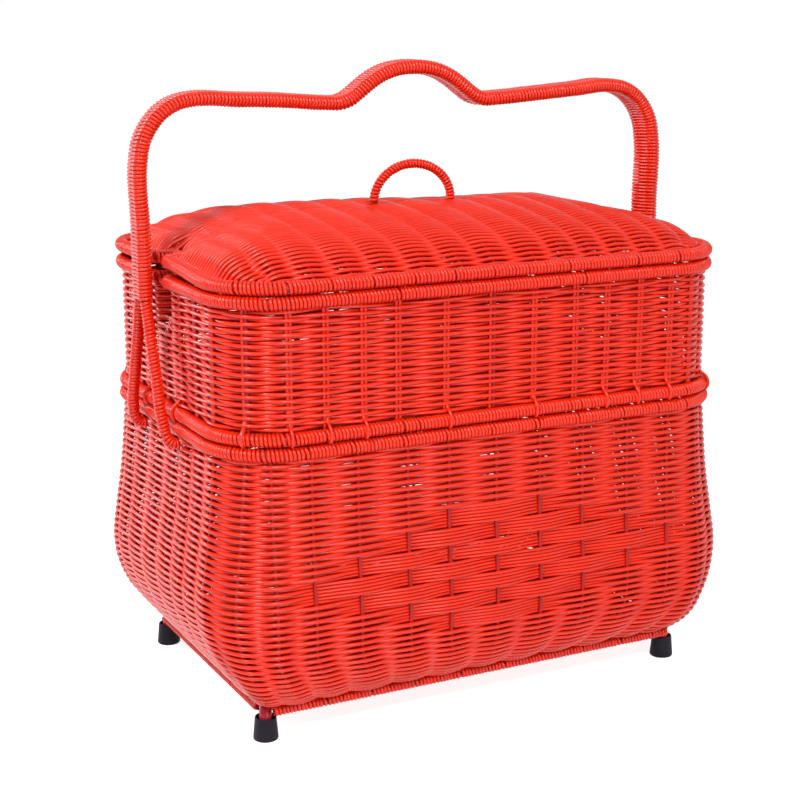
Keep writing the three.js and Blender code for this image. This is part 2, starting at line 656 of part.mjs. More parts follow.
// Bound rims
addBoundRim('lower_top_rim', LOWER_RIM, null);
addBoundRim('tray_base_rim', TRAY_BASE_RIM, null);
addBoundRim('tray_top_rim', TRAY_TOP_RIM, NOTCH_DEPTH);
addBoundRim('lid_rim', LID_RIM, NOTCH_DEPTH);

// Flat woven plate with rounded corners
function plate(x, y, r, bottom, thickness) {
  const lower = planLoop({ x, y, r, z: bottom });
  const upper = planLoop({ x, y, r, z: bottom + thickness });
  const lowerCentre = new THREE.Vector3(0, 0, bottom);
  const upperCentre = new THREE.Vector3(0, 0, bottom + thickness);
  return loftCapped([lower, upper], lowerCentre, upperCentre);
}

// Floors
const lowerFloor = plate(
  LOWER_FLOOR_HALF_X,
  LOWER_FLOOR_HALF_Y,
  LOWER_FLOOR_RADIUS,
  LOWER_FLOOR_BOTTOM,
  FLOOR_THICKNESS,
);
addMesh('lower_floor', lowerFloor, RATTAN_RED);
const trayFloorInset = RIM_OUTER_RADIUS + CLEARANCE;
const trayFloor = plate(
  TRAY_BASE_RIM.x - trayFloorInset,
  TRAY_BASE_RIM.y - trayFloorInset,
  TRAY_BASE_RIM.r - trayFloorInset,
  TRAY_FLOOR_BOTTOM,
  FLOOR_THICKNESS,
);
addMesh('tray_floor', trayFloor, RATTAN_RED);

// Straight rod between two points
function straightRod(from, to, radius, sides, side = UP) {
  return rod([new THREE.Vector3(...from), new THREE.Vector3(...to)], roundSection(radius, sides), side);
}

// Rods that carry the floors
const lowerRodEnd = LEG_Y + LEG_RADIUS - CLEARANCE;
const lowerRodZ = LOWER_FLOOR_BOTTOM - LOWER_CROSS_ROD_RADIUS - CLEARANCE;
LOWER_CROSS_ROD_X.forEach((x, i) => {
  const from = [x, -lowerRodEnd, lowerRodZ];
  const to = [x, lowerRodEnd, lowerRodZ];
  const geometry = straightRod(from, to, LOWER_CROSS_ROD_RADIUS, 8);
  addMesh(`lower_cross_rod_${i + 1}`, geometry, FRAME_RED, 0.4);
});
const trayRodEnd = TRAY_BASE_RIM.y - RIM_OUTER_RADIUS - CLEARANCE;
const trayRodZ = TRAY_FLOOR_BOTTOM - TRAY_CROSS_ROD_RADIUS - CLEARANCE;
TRAY_CROSS_ROD_X.forEach((x, i) => {
  const from = [x, -trayRodEnd, trayRodZ];
  const to = [x, trayRodEnd, trayRodZ];
  const geometry = straightRod(from, to, TRAY_CROSS_ROD_RADIUS, 8);
  addMesh(`tray_cross_rod_${i + 1}`, geometry, FRAME_RED, 0.4);
});

// Base bars: front and back pass outside the legs, the two side bars butt against them
function addBaseBar(name, from, to) {
  const path = [new THREE.Vector3(...from), new THREE.Vector3(...to)];
  addMesh(`${name}_rod`, rod(path, flatSection(BASE_BAR_ROD_RADIUS, 6), UP), FRAME_RED, 0.4);
  const outer = flatSection(BASE_BAR_OUTER_RADIUS, 8);
  const inner = flatSection(BASE_BAR_INNER_RADIUS, 6);
  addMesh(`${name}_binding`, sleeve(path, outer, inner, UP), RATTAN_RED);
}
const frontBarY = LEG_Y + LEG_RADIUS + BASE_BAR_OUTER_RADIUS + CLEARANCE;
const frontBarEnd = LEG_X - 3;
const sideBarX = LEG_X + 3.5;
const sideBarEnd = LEG_Y - LEG_RADIUS - CLEARANCE;
addBaseBar('base_bar_front', [-frontBarEnd, -frontBarY, BASE_BAR_Z], [frontBarEnd, -frontBarY, BASE_BAR_Z]);
addBaseBar('base_bar_back', [-frontBarEnd, frontBarY, BASE_BAR_Z], [frontBarEnd, frontBarY, BASE_BAR_Z]);
addBaseBar('base_bar_left', [-sideBarX, -sideBarEnd, BASE_BAR_Z], [-sideBarX, sideBarEnd, BASE_BAR_Z]);
addBaseBar('base_bar_right', [sideBarX, -sideBarEnd, BASE_BAR_Z], [sideBarX, sideBarEnd, BASE_BAR_Z]);

// Corners, shared by legs, feet and frame posts
const CORNERS = [
  { name: 'front_left', sx: -1, sy: -1 },
  { name: 'front_right', sx: 1, sy: -1 },
  { name: 'back_left', sx: -1, sy: 1 },
  { name: 'back_right', sx: 1, sy: 1 },
];

// Rubber foot: a tapered cup with a blind bore for the leg
const footProfile = [
  [0, 0],
  [FOOT_BOTTOM_RADIUS - 0.6, 0],
  [FOOT_BOTTOM_RADIUS, 1],
  [FOOT_TOP_RADIUS, FOOT_HEIGHT],
  [FOOT_TOP_RADIUS - 1.3, FOOT_HEIGHT],
  [FOOT_TOP_RADIUS - 1.6, FOOT_HEIGHT - 3],
  [LEG_RADIUS + CLEARANCE, FOOT_HEIGHT - 3.4],
  [LEG_RADIUS + CLEARANCE, FOOT_BORE_BOTTOM],
  [0, FOOT_BORE_BOTTOM],
].map(([radius, z]) => new THREE.Vector2(radius, z));

function latheUpright(profile, segments, x, y) {
  const geometry = new THREE.LatheGeometry(profile, segments);
  geometry.rotateX(Math.PI / 2);
  geometry.translate(x, y, 0);
  return geometry;
}

// Corner point of a ring on its diagonal, moved inward by a distance
function cornerPoint(ring, corner, inward) {
  const reach = ring.r * (1 - Math.SQRT1_2) + inward * Math.SQRT1_2;
  return new THREE.Vector3(corner.sx * (ring.x - reach), corner.sy * (ring.y - reach), ring.z);
}

const postInset = POST_RADIUS + CLEARANCE + 0.4;
const postRings = innerProfile(LOWER_WALL_PROFILE, WALL_THICKNESS).slice(1);

// Post centre line inside the corner of the lower wall, kept square to the wall's slope
function lowerPostPath(corner) {
  const edge = postRings.map((ring) => cornerPoint(ring, corner, 0));
  return postRings.map((ring, i) => {
    const below = edge[Math.max(i - 1, 0)];
    const above = edge[Math.min(i + 1, edge.length - 1)];
    const slope = Math.hypot(above.x - below.x, above.y - below.y) / (above.z - below.z);
    return cornerPoint(ring, corner, postInset * Math.hypot(1, slope));
  });
}
const trayInner = {
  x: TRAY_WALL.x - WALL_THICKNESS,
  y: TRAY_WALL.y - WALL_THICKNESS,
  r: TRAY_WALL.r - WALL_THICKNESS,
};
CORNERS.forEach((corner) => {
  const foot = latheUpright(footProfile, 14, corner.sx * LEG_X, corner.sy * LEG_Y);
  addMesh(`foot_${corner.name}`, foot, RUBBER_BLACK);
  const legFrom = [corner.sx * LEG_X, corner.sy * LEG_Y, FOOT_BORE_BOTTOM + CLEARANCE];
  const legTo = [corner.sx * LEG_X, corner.sy * LEG_Y, LEG_TOP];
  addMesh(`leg_${corner.name}`, straightRod(legFrom, legTo, LEG_RADIUS, 12, ACROSS), FRAME_RED, 0.4);
  const diagonal = new THREE.Vector3(corner.sx, -corner.sy, 0).normalize();
  const lowerPath = lowerPostPath(corner);
  const lowerPost = rod(lowerPath, roundSection(POST_RADIUS, 6), diagonal);
  addMesh(`lower_post_${corner.name}`, lowerPost, FRAME_RED, 0.4);
  const trayBottom = { ...trayInner, z: TRAY_FLOOR_BOTTOM + FLOOR_THICKNESS + CLEARANCE };
  const trayTop = { ...trayInner, z: TRAY_WALL_TOP };
  const trayPath = [cornerPoint(trayBottom, corner, postInset), cornerPoint(trayTop, corner, postInset)];
  const trayPost = rod(trayPath, roundSection(POST_RADIUS, 6), diagonal);
  addMesh(`tray_post_${corner.name}`, trayPost, FRAME_RED, 0.4);
});

// Carry handle
const handleRight = HANDLE_HALF_PATH.map(([x, z]) => new THREE.Vector3(x, 0, z));
const handleLeft = HANDLE_HALF_PATH.map(([x, z]) => new THREE.Vector3(-x, 0, z)).reverse();
const archTop = new THREE.Vector3(0, 0, ARCH_TOP_Z);
const splitLeft = new THREE.Vector3(-HANDLE_LEG_X, 0, HANDLE_SPLIT_Z);
const splitRight = new THREE.Vector3(HANDLE_LEG_X, 0, HANDLE_SPLIT_Z);
const handlePath = [splitLeft, ...handleLeft, archTop, ...handleRight, splitRight];
const handleOuter = stadiumSection(HANDLE_HALF_THICKNESS, HANDLE_ROD_Y, 4);
const handleInner = stadiumSection(HANDLE_SLEEVE_RADIUS, HANDLE_ROD_Y, 4);
addMesh('handle_binding', sleeve(handlePath, handleOuter, handleInner, ACROSS), RATTAN_RED);

const wallAtRodEnd = LOWER_WALL_PROFILE[LOWER_WALL_PROFILE.length - 1].x + 0.5;
function handleTail(sx, sy) {
  const tail = HANDLE_ROD_TAIL.map(([x, y, z]) => new THREE.Vector3(sx * x, sy * y, z));
  const endX = sx * (wallAtRodEnd + CLEARANCE);
  tail.push(new THREE.Vector3(endX, sy * HANDLE_ROD_END_Y, HANDLE_ROD_END_Z));
  return tail;
}
// Where a leg's own binding begins, a little below the split
function legBindingStart(sx, sy) {
  const split = new THREE.Vector3(sx * HANDLE_LEG_X, sy * HANDLE_ROD_Y, HANDLE_SPLIT_Z);
  return split.lerp(handleTail(sx, sy)[0], 0.16);
}
['front', 'rear'].forEach((name, i) => {
  const sy = i === 0 ? -1 : 1;
  const upper = handlePath.map((p) => new THREE.Vector3(p.x, sy * HANDLE_ROD_Y, p.z));
  const leftTail = [legBindingStart(-1, sy), ...handleTail(-1, sy)].reverse();
  const rightTail = [legBindingStart(1, sy), ...handleTail(1, sy)];
  const path = [...leftTail, ...upper, ...rightTail];
  addMesh(`handle_rod_${name}`, rod(path, roundSection(HANDLE_ROD_RADIUS, 6), ACROSS), FRAME_RED, 0.4);
  const outer = roundSection(LEG_BINDING_RADIUS, 8);
  const inner = roundSection(HANDLE_SLEEVE_RADIUS, 8);
  const last = path.length - 1;
  const tail = leftTail.length - 1;
  const left = sleeve(path, outer, inner, ACROSS, 1, tail);
  addMesh(`leg_binding_${name}_left`, left, RATTAN_RED);
  const right = sleeve(path, outer, inner, ACROSS, last - tail, last - 1);
  addMesh(`leg_binding_${name}_right`, right, RATTAN_RED);
});

// Height of the lid's top face at an inward distance from the rim
function lidHeight(d) {
  const rings = [...LID_PROFILE, { d: LID_RIM.y, z: LID_CENTRE_Z }];
  if (d <= rings[0].d) return rings[0].z;
  for (let i = 1; i < rings.length; i += 1) {
    if (d <= rings[i].d) {
      const t = (d - rings[i - 1].d) / (rings[i].d - rings[i - 1].d);
      return rings[i - 1].z + t * (rings[i].z - rings[i - 1].z);
    }
  }
  return LID_CENTRE_Z;
}

// The notch fades out and widens as the rings of the lid move inward
function lidNotch(d) {
  return NOTCH_DEPTH * Math.max(0, 1 - (d - LID_PROFILE[0].d) / LID_NOTCH_FADE);
}

function lidSpread(d) {
  return LID_NOTCH_SPREAD * Math.min(d, LID_NOTCH_FADE);
}

// How far a point lies outside the ring at an inward distance, negative inside it
function outsideLidRing(x, y, d) {
  const radius = Math.max(LID_RIM.r - d * LID_CORNER_SHRINK, 6);
  const shift = lidNotch(d) * notchShare(y, lidSpread(d));
  const overX = Math.abs(x) + shift - (LID_RIM.x - d - radius);
  const overY = Math.abs(y) - (LID_RIM.y - d - radius);
  const outside = Math.hypot(Math.max(overX, 0), Math.max(overY, 0));
  return outside + Math.min(Math.max(overX, overY), 0) - radius;
}

// Inward distance of the lid's ring through a point, by halving
function lidInset(x, y) {
  let near = LID_PROFILE[0].d;
  let far = LID_RIM.y;
  for (let i = 0; i < 30; i += 1) {
    const middle = (near + far) / 2;
    if (outsideLidRing(x, y, middle) < 0) near = middle;
    else far = middle;
  }
  return near;
}

// Lid shell: strands run lengthwise over ribs, so each rib makes a low ridge across the dome
const lidEdge = LID_PROFILE[0].d;
const lidEdgeX = LID_RIM.x - lidEdge;
const lidEdgeY = LID_RIM.y - lidEdge;
const lidEdgeRadius = LID_RIM.r - lidEdge * LID_CORNER_SHRINK;
const lidColumns = [{ x: -lidEdgeX, valley: 0 }];
spreadPlaces(LID_RIDGES, LID_RIM.x, LID_RIDGE_MARGIN).forEach((x, i, ridges) => {
  lidColumns.push({ x, valley: 0 });
  if (i + 1 < ridges.length) lidColumns.push({ x: (x + ridges[i + 1]) / 2, valley: 1 });
});
lidColumns.push({ x: lidEdgeX, valley: 0 });
// Half depth of the lid at a place along it, less in the corners
function lidHalfDepth(x) {
  const over = Math.max(Math.abs(x) - (lidEdgeX - lidEdgeRadius), 0);
  const rise = Math.sqrt(Math.max(lidEdgeRadius ** 2 - over ** 2, 0));
  return lidEdgeY - lidEdgeRadius + rise;
}
const lidNotchLines = [NOTCH_FLAT + lidSpread(lidEdge), NOTCH_FLAT + NOTCH_BLEND + lidSpread(lidEdge)];
const lidTop = [];
const lidUnder = [];
lidColumns.forEach(({ x, valley }) => {
  const half = [...lidNotchLines, ...LID_ROWS.map((share) => share * lidHalfDepth(x))];
  const rows = [...half.map((y) => -y).reverse(), 0, ...half];
  const fade = Math.max(0, 1 - (lidEdgeX - Math.abs(x)) / LID_NOTCH_FADE);
  rows.forEach((y) => {
    const bent = x - Math.sign(x) * NOTCH_DEPTH * fade * notchShare(y, lidSpread(lidEdge));
    const z = lidHeight(lidInset(bent, y));
    const sunk = y === 0 ? 0 : valley * RIDGE_DEPTH;
    lidTop.push(new THREE.Vector3(bent, y, z - sunk));
    lidUnder.push(new THREE.Vector3(bent, y, z - LID_THICKNESS));
  });
});

// Closed sheet from two grids of points, column by column
function sheetSolid(top, under, columns) {
  const rows = top.length / columns;
  const at = (i, j) => i * rows + j;
  const faces = [];
  for (let i = 0; i + 1 < columns; i += 1) {
    for (let j = 0; j + 1 < rows; j += 1) {
      const corners = [at(i, j), at(i + 1, j), at(i + 1, j + 1), at(i, j + 1)];
      const [a, b, c, d] = corners;
      const [e, f, g, h] = corners.map((n) => n + top.length);
      faces.push([a, b, c], [a, c, d], [e, g, f], [e, h, g]);
    }
  }
  const edge = [];
  for (let i = 0; i < columns; i += 1) edge.push(at(i, 0));
  for (let j = 1; j < rows; j += 1) edge.push(at(columns - 1, j));
  for (let i = columns - 2; i >= 0; i -= 1) edge.push(at(i, rows - 1));
  for (let j = rows - 2; j > 0; j -= 1) edge.push(at(0, j));
  edge.forEach((a, n) => {
    const b = edge[(n + 1) % edge.length];
    faces.push([a + top.length, b + top.length, b], [a + top.length, b, a]);
  });
  return toGeometry([...top, ...under], faces);
}
addMesh('lid_shell', sheetSolid(lidTop, lidUnder, lidColumns.length), RATTAN_RED);

// Curved rods under the lid: the drop below the top face is grown on the steeper parts
function underLidRod(points, extraDrop) {
  const path = points.map(([x, y, d]) => {
    const slope = (lidHeight(d + 2) - lidHeight(d - 2)) / 4;
    const drop = LID_THICKNESS + extraDrop + (LID_RIB_RADIUS + 2 * CLEARANCE) * Math.hypot(1, slope);
    return new THREE.Vector3(x, y, lidHeight(d) - drop);
  });
  return path;
}
const ribSteps = [10, 17, 26, 40, 60, 88, 122];
for (let i = 0; i < LID_RIB_COUNT; i += 1) {
  const x = ((2 * i) / (LID_RIB_COUNT - 1) - 1) * (LID_RIM.x - LID_END_RIB_INSET);
  const near = LID_RIM.x - Math.abs(x);
  const side = ribSteps.map((d) => [x, LID_RIM.y - d, Math.min(d, near)]);
  const far = [...side].reverse().map(([px, y, d]) => [px, -y, d]);
  const atEnd = i === 0 || i === LID_RIB_COUNT - 1;
  const drop = atEnd ? LID_END_RIB_DROP : LID_RIB_DROP;
  const path = underLidRod([...side, [x, 0, Math.min(LID_RIM.y, near)], ...far], drop);
  const rib = rod(path, flatSection(LID_RIB_RADIUS, 6), ALONG);
  addMesh(`lid_rib_${i + 1}`, rib, FRAME_RED, 0.4);
}
const barSteps = [11, 16, 25, 40, 60, 88, 122];
const barSide = barSteps.map((d) => [LID_RIM.x - d - lidNotch(d), 0, d]);
const barFar = [...barSide].reverse().map(([x, y, d]) => [-x, y, d]);
const barPath = underLidRod([...barSide, ...barFar], LID_BAR_DROP);
addMesh('lid_centre_bar', rod(barPath, flatSection(LID_RIB_RADIUS, 6), ACROSS), FRAME_RED, 0.4);

// Small lifting loop on the lid
const loopPath = [];
for (let i = 0; i <= 14; i += 1) {
  const angle = (i / 14) * Math.PI;
  const x = -LOOP_HALF_WIDTH * Math.cos(angle);
  loopPath.push(new THREE.Vector3(x, 0, LID_CENTRE_Z + LOOP_SEAT_GAP + LOOP_HEIGHT * Math.sin(angle)));
}
addMesh('lid_loop_rod', rod(loopPath, roundSection(LOOP_ROD_RADIUS, 6), ACROSS), FRAME_RED, 0.4);
const loopOuter = roundSection(LOOP_BINDING_RADIUS, 8);
const loopInner = roundSection(LOOP_ROD_RADIUS + 0.4, 6);
addMesh('lid_loop_binding', sleeve(loopPath, loopOuter, loopInner, ACROSS), RATTAN_RED);

export default group;
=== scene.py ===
# Looks of the woven picnic basket: every strand of the weave and every winding is a mesh tube.
# Sizes are in millimetres until a mesh is made; X runs along the basket, Y across it and Z up.

from collections import namedtuple
import math

import bpy
import numpy as np
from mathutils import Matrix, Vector


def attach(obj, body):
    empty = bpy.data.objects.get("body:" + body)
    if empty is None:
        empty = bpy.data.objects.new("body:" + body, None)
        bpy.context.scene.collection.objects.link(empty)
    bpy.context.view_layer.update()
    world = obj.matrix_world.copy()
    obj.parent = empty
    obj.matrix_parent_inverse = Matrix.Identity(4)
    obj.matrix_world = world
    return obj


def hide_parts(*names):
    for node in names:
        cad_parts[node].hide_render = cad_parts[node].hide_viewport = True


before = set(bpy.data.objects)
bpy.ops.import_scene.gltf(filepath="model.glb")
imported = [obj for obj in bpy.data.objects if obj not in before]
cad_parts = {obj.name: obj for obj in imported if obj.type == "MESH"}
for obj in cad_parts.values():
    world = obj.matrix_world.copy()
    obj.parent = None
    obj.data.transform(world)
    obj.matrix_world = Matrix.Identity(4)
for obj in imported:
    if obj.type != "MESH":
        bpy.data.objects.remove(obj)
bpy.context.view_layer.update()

MM = 0.001
UP = np.array([0.0, 0.0, 1.0])
ACROSS = np.array([0.0, 1.0, 0.0])

# Rims: half length, half depth, corner radius and height of each centre line
HALF_LENGTH = 216
HALF_DEPTH = 143
CORNER_RADIUS = 53
UPPER_CORNER_RADIUS = CORNER_RADIUS - 0.5
RIM_OUTER_RADIUS = 5.3
RIM_ROD_RADIUS = 3.1
LOWER_RIM = (HALF_LENGTH, HALF_DEPTH, CORNER_RADIUS, 229)
TRAY_BASE_RIM = (HALF_LENGTH - 0.6, HALF_DEPTH - 0.4, UPPER_CORNER_RADIUS, 240)
TRAY_TOP_RIM = (HALF_LENGTH - 1, HALF_DEPTH - 0.8, UPPER_CORNER_RADIUS, 338.7)
LID_RIM = (HALF_LENGTH - 1, HALF_DEPTH - 0.5, UPPER_CORNER_RADIUS, 349.6)
# Notch for the handle, in both short sides of the tray's top and of the lid
NOTCH_DEPTH = 15
NOTCH_FLAT = 9
NOTCH_BLEND = 5

# Weave: strands of round plastic rattan over and under the stakes
STRAND_RADIUS = 1.45
STRAND_WAVE = 1.95
STAKE_DEPTH = STRAND_WAVE + STRAND_RADIUS
ROW_PITCH = 2.64
STRAND_SIDES = 8
SLIM_SIDES = 6
# Half widths of the strands; those of a band lie evenly side by side
LOWER_STRAND_WIDTH = 1.62
TRAY_STRAND_WIDTH = 1.46
LID_STRAND_WIDTH = 1.5
BAND_STRAND_WIDTH = 1.3
# Knots of the random sway of a strand
WALL_KNOTS = 26
LID_KNOTS = 24
FLOOR_KNOTS = 12
# Samples from one stake to the next
STEPS_PER_SPAN = 8
FLOOR_STEPS_PER_SPAN = 6

rng = np.random.default_rng(7)


# Curves and outlines

def spline(xs, ys, x):
    """Smooth curve through points, evaluated at x."""
    xs = np.asarray(xs, float)
    ys = np.asarray(ys, float)
    slopes = np.gradient(ys, xs)
    i = np.clip(np.searchsorted(xs, x) - 1, 0, len(xs) - 2)
    h = xs[i + 1] - xs[i]
    t = (x - xs[i]) / h
    start = ys[i] * (2 * t**3 - 3 * t**2 + 1) + slopes[i] * h * (t**3 - 2 * t**2 + t)
    end = ys[i + 1] * (3 * t**2 - 2 * t**3) + slopes[i + 1] * h * (t**3 - t**2)
    return start + end


def smoothstep(t):
    t = np.clip(t, 0, 1)
    return t * t * (3 - 2 * t)


def ease(value, start, end):
    """0 up to the start, 1 from the end on and smooth between them."""
    return smoothstep((value - start) / (end - start))


def unit(v):
    return v / np.maximum(np.linalg.norm(v, axis=-1, keepdims=True), 1e-12)


def as_points(x, y, z):
    """Points from coordinates, of which some may be single numbers."""
    return np.stack(np.broadcast_arrays(x, y, z), axis=-1)


def noise_track(count, knots, closed=True):
    """Smooth random values from -1 to 1 along a strand."""
    values = rng.uniform(-1, 1, knots)
    if closed:
        values = np.append(values, values[0])
    at = np.linspace(0, len(values) - 1, count, endpoint=not closed)
    i = np.minimum(at.astype(int), len(values) - 2)
    t = smoothstep(at - i)
    return values[i] * (1 - t) + values[i + 1] * t


def arc_lengths(points):
    """Length of a line of points from its start to each of them."""
    return np.concatenate([[0], np.cumsum(np.linalg.norm(np.diff(points, axis=0), axis=1))])


def rows_along(places, others):
    """Places a row apart along the slope of a curve."""
    slant = np.concatenate([[0], np.cumsum(np.hypot(np.diff(places), np.diff(others)))])
    count = int(round(slant[-1] / ROW_PITCH))
    return np.interp(np.linspace(0, slant[-1], count + 1), slant, places)


def span_samples(values, steps, rounded):
    """Values from each one to the next, evenly or rounded off at each one."""
    share = np.arange(steps) / steps
    if rounded:
        share = (1 - np.cos(math.pi * share)) / 2
    return (values[:-1, None] + np.diff(values)[:, None] * share).ravel()


def open_samples(ends, levels, steps):
    """Places and levels along a strand that ends at both sides."""
    x = np.append(span_samples(ends, steps, False), ends[-1])
    return x, np.append(span_samples(levels, steps, True), levels[-1])


def perimeter(x, y, r):
    return 4 * (x - r + y - r + math.pi * r / 2)


def outline(x, y, r, s):
    """Points of a rounded rectangle at arc lengths s from the middle of the front, towards +X."""
    a = x - r
    b = y - r
    c = math.pi * r / 2
    length = 4 * (a + b + c)
    s = np.mod(s, length)
    edges = np.cumsum([a, c, 2 * b, c, 2 * a, c, 2 * b, c, a])
    part = np.searchsorted(edges, s, side="right").clip(0, 8)
    t = s - np.concatenate([[0], edges])[part]
    px = np.empty_like(s)
    py = np.empty_like(s)
    straights = [(0, -y, 1, 0), (x, -b, 0, 1), (a, y, -1, 0), (-x, b, 0, -1), (-a, -y, 1, 0)]
    for index, (sx, sy, dx, dy) in enumerate(straights):
        m = part == 2 * index
        px[m] = sx + dx * t[m]
        py[m] = sy + dy * t[m]
    for index, (cx, cy) in enumerate([(a, -b), (a, b), (-a, b), (-a, -b)]):
        m = part == 2 * index + 1
        angle = (index - 1) / 2 * math.pi + t[m] / r
        px[m] = cx + r * np.cos(angle)
        py[m] = cy + r * np.sin(angle)
    return px, py


def half_chord(half, half_across, radius, offset):
    """Half length of a rounded rectangle along one side, at an offset across it."""
    over = max(abs(offset) - (half_across - radius), 0)
    return half - radius + math.sqrt(max(radius**2 - over**2, 0))


def notch_shape(y):
    """1 in the flat of the notch, falling to 0 on both sides."""
    return 1 - ease(np.abs(y), NOTCH_FLAT, NOTCH_FLAT + NOTCH_BLEND)


def notched(px, py, x, depth):
    """X of the points of an outline of half length x, with a notch at both ends."""
    return px - np.sign(px) * depth * notch_shape(py) * (np.abs(px) > x / 2)


def stake_arcs(x, y, r, front, side):
    """Arc length of every stake: front, corner, right, corner, back, corner, left, corner."""
    a = x - r
    b = y - r
    c = math.pi * r / 2

    def reach(offset, flat):
        over = np.clip((abs(offset) - flat) / r, 0, 1)
        return math.copysign(min(abs(offset), flat) + r * math.asin(over), offset)

    front_arcs = [reach(v, a) for v in front]
    side_arcs = [reach(v, b) for v in side]
    right = a + c + b
    back = 2 * (a + b + c)
    arcs = front_arcs + [a + c / 2]
    arcs += [right + v for v in side_arcs] + [a + c + 2 * b + c / 2]
    arcs += [back - v for v in reversed(front_arcs)] + [back + a + c / 2]
    arcs += [back + right - v for v in reversed(side_arcs)] + [back + a + c + 2 * b + c / 2]
    return np.array(arcs)


# Meshes and pieces

def new_object(name, data):
    made = bpy.data.objects.new(name, data)
    bpy.context.scene.collection.objects.link(made)
    return made


def new_piece(name, vertices, polygons, material):
    """Object from points in millimetres and arrays of polygons, each array of one size."""
    corners = np.concatenate([p.ravel() for p in polygons])
    sizes = np.concatenate([np.full(len(p), p.shape[1]) for p in polygons])
    mesh = bpy.data.meshes.new(name)
    mesh.vertices.add(len(vertices))
    mesh.vertices.foreach_set("co", (np.asarray(vertices) * MM).astype(np.float32).ravel())
    mesh.loops.add(len(corners))
    mesh.loops.foreach_set("vertex_index", corners.astype(np.int32))
    mesh.polygons.add(len(sizes))
    mesh.polygons.foreach_set("loop_start", (np.cumsum(sizes) - sizes).astype(np.int32))
    mesh.update(calc_edges=True)
    mesh.validate()
    mesh.shade_smooth()
    mesh.materials.append(material)
    return new_object(name, mesh)


def finish_piece(piece, body, slot, *nodes):
    """The body that a piece rides on and the CAD nodes that it replaces; its finish (slot) is not used."""
    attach(piece, body)
    if nodes:
        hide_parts(*nodes)


def ring_faces(rings, sides, closed=False):
    """Quads between rings of points, and the end caps of an open row of rings."""
    here = np.arange(rings if closed else rings - 1)[:, None] * sides
    there = (here + sides) % (rings * sides)
    k = np.arange(sides)
    after = (k + 1) % sides
    quads = np.stack([here + k, here + after, there + after, there + k], axis=-1).reshape(-1, 4)
    return quads, [] if closed else [k[None, ::-1], (rings - 1) * sides + k[None, :]]


class Strands:
    """Collects tubes and makes one piece of them, of rattan or of painted steel."""

    def __init__(self):
        self.vertices = []
        self.quads = []
        self.caps = []
        self.tints = []
        self.count = 0

    def add(self, path, normal, radius, width=None, sides=STRAND_SIDES, closed=False, tint=0.5):
        """Tube along a path: radius is half its thickness along the normal, width half its width across."""
        path = np.asarray(path, float)
        steps = len(path)
        if closed:
            tangent = np.roll(path, -1, axis=0) - np.roll(path, 1, axis=0)
        else:
            tangent = np.gradient(path, axis=0)
        tangent = unit(tangent)
        across = unit(np.cross(tangent, normal))
        outward = unit(np.cross(across, tangent))
        angles = np.arange(sides) / sides * 2 * math.pi
        width = np.broadcast_to(radius if width is None else width, steps)[:, None, None]
        ring = (
            path[:, None, :]
            + radius * np.cos(angles)[None, :, None] * outward[:, None, :]
            + width * np.sin(angles)[None, :, None] * across[:, None, :]
        )
        self.vertices.append(ring.reshape(-1, 3))
        self.tints.append(np.full(steps * sides, tint))
        quads, caps = ring_faces(steps, sides, closed)
        self.quads.append(quads + self.count)
        self.caps += [cap + self.count for cap in caps]
        self.count += steps * sides

    def piece(self, name, body, slot, *nodes):
        material = {"rattan": RATTAN, "frame": STEEL_PAINT}[slot]
        piece = new_piece(name, np.concatenate(self.vertices), self.quads + self.caps, material)
        tint = piece.data.attributes.new("tint", "FLOAT", "POINT")
        tint.data.foreach_set("value", np.concatenate(self.tints).astype(np.float32))
        finish_piece(piece, body, slot, *nodes)


# Materials

def linear(red, green, blue):
    """sRGB from 0 to 255 as a linear colour."""
    def channel(v):
        v /= 255
        return v / 12.92 if v <= 0.04045 else ((v + 0.055) / 1.055) ** 2.4
    return (channel(red), channel(green), channel(blue), 1.0)


class Surface:
    """A material with its shader, and the nodes that colour, roughen and bump it."""

    def __init__(self, name, specular):
        self.material = bpy.data.materials.new(name)
        self.material.use_nodes = True
        self.nodes = self.material.node_tree.nodes
        self.links = self.material.node_tree.links
        self.inputs = self.nodes["Principled BSDF"].inputs
        self.inputs["Specular IOR Level"].default_value = specular

    def noise(self, scale, detail=3.0):
        noise = self.nodes.new("ShaderNodeTexNoise")
        noise.inputs["Scale"].default_value = scale
        noise.inputs["Detail"].default_value = detail
        coordinates = self.nodes.new("ShaderNodeTexCoord")
        self.links.new(coordinates.outputs["Object"], noise.inputs["Vector"])
        return noise.outputs["Fac"]

    def ramp(self, source, low, high, low_at=0.3, high_at=0.7):
        ramp = self.nodes.new("ShaderNodeValToRGB")
        for element, place, colour in zip(ramp.color_ramp.elements, (low_at, high_at), (low, high)):
            element.position = place
            element.color = colour
        self.links.new(source, ramp.inputs["Fac"])
        return ramp.outputs["Color"]

    def colour(self, source):
        self.links.new(source, self.inputs["Base Color"])

    def roughness(self, source, low, high):
        spread = self.nodes.new("ShaderNodeMapRange")
        spread.inputs["To Min"].default_value = low
        spread.inputs["To Max"].default_value = high
        self.links.new(source, spread.inputs["Value"])
        self.links.new(spread.outputs["Result"], self.inputs["Roughness"])

    def bump(self, source, strength, distance):
        bump = self.nodes.new("ShaderNodeBump")
        bump.inputs["Strength"].default_value = strength
        bump.inputs["Distance"].default_value = distance
        self.links.new(source, bump.inputs["Height"])
        self.links.new(bump.outputs["Normal"], self.inputs["Normal"])


